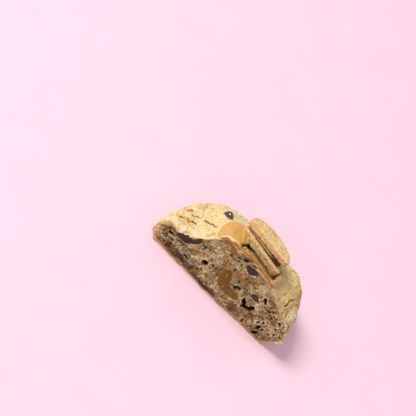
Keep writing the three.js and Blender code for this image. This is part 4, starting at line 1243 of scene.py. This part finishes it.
def wafer_piece(name, pose, thick, taper, seed, node):
    """Carries the wafer from its own frame to its place on the cookie."""
    grid, fields = wafer_local(thick, taper, 0.8, seed)
    placed = grid @ pose[0] + pose[1]
    places, faces = closed_shell(placed)
    rimmed = np.clip(np.linalg.norm(grid[..., :2] / [WAFER_RADIUS, WAFER_DEPTH], axis=2), 0, 1.1)
    paint = {label: pad(values) for label, values in fields.items()}
    paint["rimmed"] = pad(ramp(0.78, 1.0, rimmed))
    make_piece(name, places, faces, node, baked_wafer, paint)


def wafer_finish():
    """Dry golden biscuit: fine sandy grain, browner rim, painted shade where the surface lies low and
    on the broken side, and a painted highlight along the upper corner of the broken edge.
    """
    soft = {"Subsurface_Weight": 0.05, "Subsurface_Scale": 0.001}
    material, tree, shader, where = new_finish("baked_wafer", 0.7, **soft)
    blotch = between(tree, cloud(tree, where, 6, 4, 0.6), 0.4, 0.62)
    colour = coat(tree, blotch, linear(255, 224, 160), linear(248, 208, 138))
    colour = wash(tree, colour, (210, 164, 92), stored(tree, "rimmed"), 0.4)
    colour = wash(tree, colour, (216, 172, 98), stored(tree, "broken"), 0.6)
    # Painted shade on the broken side, darker towards the right.
    colour = wash(tree, colour, (188, 126, 48), stored(tree, "worn"), 0.6)
    # Painted highlight along the upper corner of the broken edge.
    colour = wash(tree, colour, (255, 230, 172), stored(tree, "crisp"), 0.6)
    # Painted shade where the surface lies low.
    colour = wash(tree, colour, (170, 116, 54), stored(tree, "dip_shade"), 0.7)
    sandy = between(tree, cloud(tree, where, 1.3, 5, 0.9), 0.49, 0.57)
    colour = wash(tree, colour, (184, 132, 62), sandy, 0.6)
    pale = between(tree, cloud(tree, where, 1.5, 5, 0.9, 0.5), 0.53, 0.6)
    colour = wash(tree, colour, (255, 242, 206), pale, 0.7)
    dots = between(tree, cells(tree, where, 3.2), 0.1, 0.22, 0.85, 0.0)
    colour = wash(tree, colour, (150, 98, 42), dots)
    tree.links.new(colour, shader.inputs["Base Color"])
    rough = raised(tree, cloud(tree, where, 1.0, 5, 0.8), 0.55, 1.0)
    tree.links.new(raised(tree, cells(tree, where, 0.45), 0.07, 0.5, rough), shader.inputs["Normal"])
    return material


baked_wafer = wafer_finish()
wafer_piece("wafer_lower_dressed", LOWER, LOWER_THICK, 0, 101, "biscuit_wafer_lower")
wafer_piece("wafer_upper_dressed", UPPER, UPPER_THICK, UPPER_TAPER, 111, "biscuit_wafer_upper")

# %% [markdown]
# ### The cream
# Cream is pressed between the wafers and stays a little inside their edge. Its colour carries painted
# light: both its tones are darkened as painted shade of the recess, a painted highlight runs along the
# middle where it bulged, and the right end, where it pulled away, is dark with painted shade. Its rings
# go from the lower wafer's top to the upper one's under side: each place is a mix of the two, which
# makes the wedge.

# %% Cream
CREAM_RECESS = 1.8


def cream_shell(steps=240):
    """Rings mixed from floor to roof; the side bulges by a parabola of the height."""
    line = half_disc(WAFER_RADIUS - CREAM_RECESS, 2.2, steps)
    line = line + [0, CREAM_RECESS]
    line[:, 0] *= np.where(line[:, 0] > 0, 0.9, 1.0)
    middle = line.mean(0)
    face = np.linspace(0.03, 1, 12)
    mix = np.concatenate([0 * face, np.linspace(0, 1, 18)[1:-1], 1 + 0 * face])
    grow = np.concatenate([face, np.ones(16), face[::-1]])
    bulge = 0.5 * (1 - (2 * mix - 1) ** 2) - 0.25
    radial = (line - middle) / np.linalg.norm(line - middle, axis=1, keepdims=True)
    flat = middle + (line[None] - middle) * grow[:, None, None]
    flat = flat + radial[None] * (bulge * (grow == 1))[:, None, None]
    at_floor = np.full((*flat.shape[:2], 1), LOWER_THICK + 0.05)
    floor = np.concatenate([flat, at_floor], 2) @ LOWER[0] + LOWER[1]
    roof = np.concatenate([flat, np.full_like(at_floor, -0.05)], 2) @ UPPER[0] + UPPER[1]
    grid = floor + (roof - floor) * mix[:, None, None]
    rough = 0.22 * grain(*[grid[..., k] for k in range(3)], 2.0, 121, 3) * (grow == 1)[:, None]
    # A painted highlight along the middle of the side, where the cream bulges.
    ridge = np.exp(-(((mix - 0.42) / 0.17) ** 2)) * (grow == 1)
    # Painted shade at the right end, where the gap between the wafers opens.
    right_end_shade = ramp(3, 11, line[:, 0])[None] * np.ones(len(mix))[:, None]
    ridge = ridge[:, None] * (1 - right_end_shade)
    return grid + outward(grid) * rough[..., None], {"ridge": pad(ridge), "right_end_shade": pad(right_end_shade)}


def cream_finish():
    """Greyish tan cream in tones darkened as painted shade, a painted highlight along the ridge, dark
    painted shade at the right end, dull.
    """
    soft = {"Subsurface_Weight": 0.15, "Subsurface_Scale": 0.002}
    material, tree, shader, where = new_finish("pressed_cream", 0.5, **soft)
    blot = between(tree, cloud(tree, where, 3, 4, 0.6), 0.4, 0.64)
    # Both base tones are darkened as painted shade of the recess between the wafers.
    colour = coat(tree, blot, linear(96, 64, 28), linear(130, 98, 50))
    # Painted highlight along the bulging middle.
    colour = wash(tree, colour, (232, 206, 156), stored(tree, "ridge"))
    # Near-black painted shade at the right end.
    colour = wash(tree, colour, (56, 26, 8), stored(tree, "right_end_shade"), 0.9)
    tree.links.new(colour, shader.inputs["Base Color"])
    tree.links.new(raised(tree, cloud(tree, where, 1.2, 4), 0.2, 0.6), shader.inputs["Normal"])
    return material


cream_grid, fields = cream_shell()
places, faces = closed_shell(cream_grid)
make_piece("cream_dressed", places, faces, "biscuit_cream", cream_finish(), fields)

# %% [markdown]
# ## Crumbs
# A knife always leaves crumbs. They lie in the furrow between the lip and the biscuit, a few stick
# to the cut. All of them are one piece: a small ball of a few dozen faces, copied with its own
# size, turn and lumps for each crumb, by array sums over all crumbs at once.

# %% Crumbs
dice = np.random.default_rng(7)


def crumb_cloud(centres, sizes):
    """One pebble grid of 6 rings by 9 points, scaled, turned and dented for every centre."""
    tilt, spin = np.linspace(0.35, np.pi - 0.35, 6), np.linspace(0, 2 * np.pi, 9, endpoint=False)
    tilt, spin = np.meshgrid(tilt, spin, indexing="ij")
    ball = np.stack([np.sin(tilt) * np.cos(spin), np.sin(tilt) * np.sin(spin), np.cos(tilt)], 2)
    ball = np.concatenate([ball.reshape(-1, 3), [[0, 0, 1]], [[0, 0, -1]]])
    faces = [ring_faces(6, 9), fan(0, 9, 54), fan(45, 9, 55)[:, ::-1]]
    stretch = dice.uniform(0.5, 1.3, (len(centres), 1, 3)) * sizes[:, None, None]
    turned = np.linalg.qr(dice.normal(size=(len(centres), 3, 3)))[0]
    turned = turned * np.sign(np.linalg.det(turned))[:, None, None]
    lumpy = ball[None] * (1 + 0.3 * dice.uniform(-1, 1, (len(centres), len(ball), 1)))
    places = np.einsum("nij,nkj->nki", turned, lumpy * stretch) + centres[:, None]
    shift = np.arange(len(centres))[:, None, None] * len(ball)
    return places.reshape(-1, 3), [(block[None] + shift).reshape(-1, block.shape[1]) for block in faces]


big, small = 24, 60
along = np.concatenate([dice.uniform(-4.8, 7.5, big), dice.uniform(-5, 13, small)])
across = np.concatenate([dice.uniform(1.6, 4.0, big), dice.uniform(1.6, 7, small)]) - 0.04 * along
sizes = np.concatenate([dice.uniform(0.7, 1.5, big), dice.uniform(0.25, 0.6, small)])
floor_here = dome_height(along, across) + spread_top(along, across)
heap = dome_height(along, across) + dice.uniform(0.2, 2.6, big + small) - 0.55 * (across - 1.8)
lying = np.maximum(floor_here + 0.5 * sizes, np.where(sizes > 0.55, heap, -9))  # large ones heap up
furrow_places = np.stack([along, across, lying], 1)
on_face_x = np.array([11.6, 12.6, 12.1, 10.7, -0.2, 22.6, 21.8, 38, 15.5, -13, 3.2])
on_face_z = np.array([18.9, 19.3, 18.1, 17.9, 22.3, 17.4, 18.2, 11.4, 31, 24, 13.4])
face_sizes = np.array([0.75, 0.6, 0.5, 0.45, 0.4, 1.1, 0.8, 0.6, 0.5, 0.5, 0.35])
on_face = np.stack([on_face_x, cut_depth(on_face_x, on_face_z) - 0.1, on_face_z], 1)
places, faces = crumb_cloud(np.concatenate([furrow_places, on_face]), np.concatenate([sizes, face_sizes]))


def crumb_bits_finish():
    """Pale dry crumbs, each a little lighter or darker."""
    material, tree, shader, where = new_finish("loose_crumb", 0.75)
    tone = between(tree, cloud(tree, where, 1.6, 2), 0.4, 0.62)
    colour = coat(tree, tone, linear(224, 186, 128), linear(170, 120, 66))
    tree.links.new(colour, shader.inputs["Base Color"])
    tree.links.new(raised(tree, cloud(tree, where, 0.5, 4), 0.2, 0.8), shader.inputs["Normal"])
    return material


make_piece("loose_crumbs", places, faces, None, crumb_bits_finish())

# %% [markdown]
# ## Floor and light
# A pale rose sheet that sweeps up all round, as in a studio, so that no view shows an edge. It is
# a profile of radius and height turned about the middle. The main light is a wide soft box high
# on the left, which leaves the cut in gentle shade; the rest is light thrown back by the room:
# the world's even colour and a weak card in front.

# %% Floor
SWEEP_START, SWEEP_RADIUS, TURNS = 3.4, 1.6, 96


def sweep_grid():
    """Rings: flat out to the start of the sweep, then a quarter circle up."""
    bend = np.linspace(0, np.pi / 2, 14)[1:]
    radius = np.concatenate([[0.05, 0.5, 1.5, SWEEP_START], SWEEP_START + SWEEP_RADIUS * np.sin(bend)])
    height = np.concatenate([np.zeros(4), SWEEP_RADIUS * (1 - np.cos(bend))])
    angle = np.linspace(0, 2 * np.pi, TURNS, endpoint=False)
    flat = radius[:, None, None] * np.stack([np.cos(angle), np.sin(angle)], 1)[None]
    return np.concatenate([flat, np.repeat(height[:, None, None], TURNS, 1)], 2)


sheet_grid = sweep_grid()
floor_mesh = bpy.data.meshes.new("floor")
sheet_faces = ring_faces(*sheet_grid.shape[:2])[:, ::-1].tolist() + [list(range(TURNS))]
floor_mesh.from_pydata(sheet_grid.reshape(-1, 3).tolist(), [], sheet_faces)
floor_mesh.shade_smooth()
floor = bpy.data.objects.new("floor", floor_mesh)
bpy.context.scene.collection.objects.link(floor)
paper, tree, shader, where = new_finish("rose_paper", 0.8, Specular_IOR_Level=0.2)
fibre = between(tree, cloud(tree, where, 40, 3), 0.3, 0.7)
tree.links.new(coat(tree, fibre, linear(250, 215, 234), linear(251, 218, 236)), shader.inputs["Base Color"])
floor_mesh.materials.append(paper)

# %% Lights


def soft_box(name, towards, distance, size, power, colour):
    """A square area light in that direction from the cookie's middle, facing it."""
    lamp = bpy.data.objects.new(name, bpy.data.lights.new(name, "AREA"))
    lamp.data.size, lamp.data.energy, lamp.data.color = size, power, colour
    towards = Vector(towards).normalized()
    lamp.location = Vector((0, 0, 0.02)) + towards * distance
    lamp.rotation_euler = towards.to_track_quat("Z", "Y").to_euler()
    bpy.context.scene.collection.objects.link(lamp)


KEY_POWER, CARD_POWER, ROOM_LIGHT = 53.0, 12.0, 0.45  # watts, watts, and the world's strength
soft_box("key", (-0.63, -0.08, 0.77), 2.6, 1.05, KEY_POWER, (1.0, 0.97, 0.93))
soft_box("card", (0.1, -0.9, 0.45), 2.4, 1.9, CARD_POWER, (1.0, 0.98, 0.94))
world = bpy.data.worlds.new("room")
world.use_nodes = True
world.node_tree.nodes["Background"].inputs["Color"].default_value = (1.0, 0.98, 0.96, 1.0)
world.node_tree.nodes["Background"].inputs["Strength"].default_value = ROOM_LIGHT
bpy.context.scene.world = world
bpy.context.scene.view_settings.view_transform = "Standard"
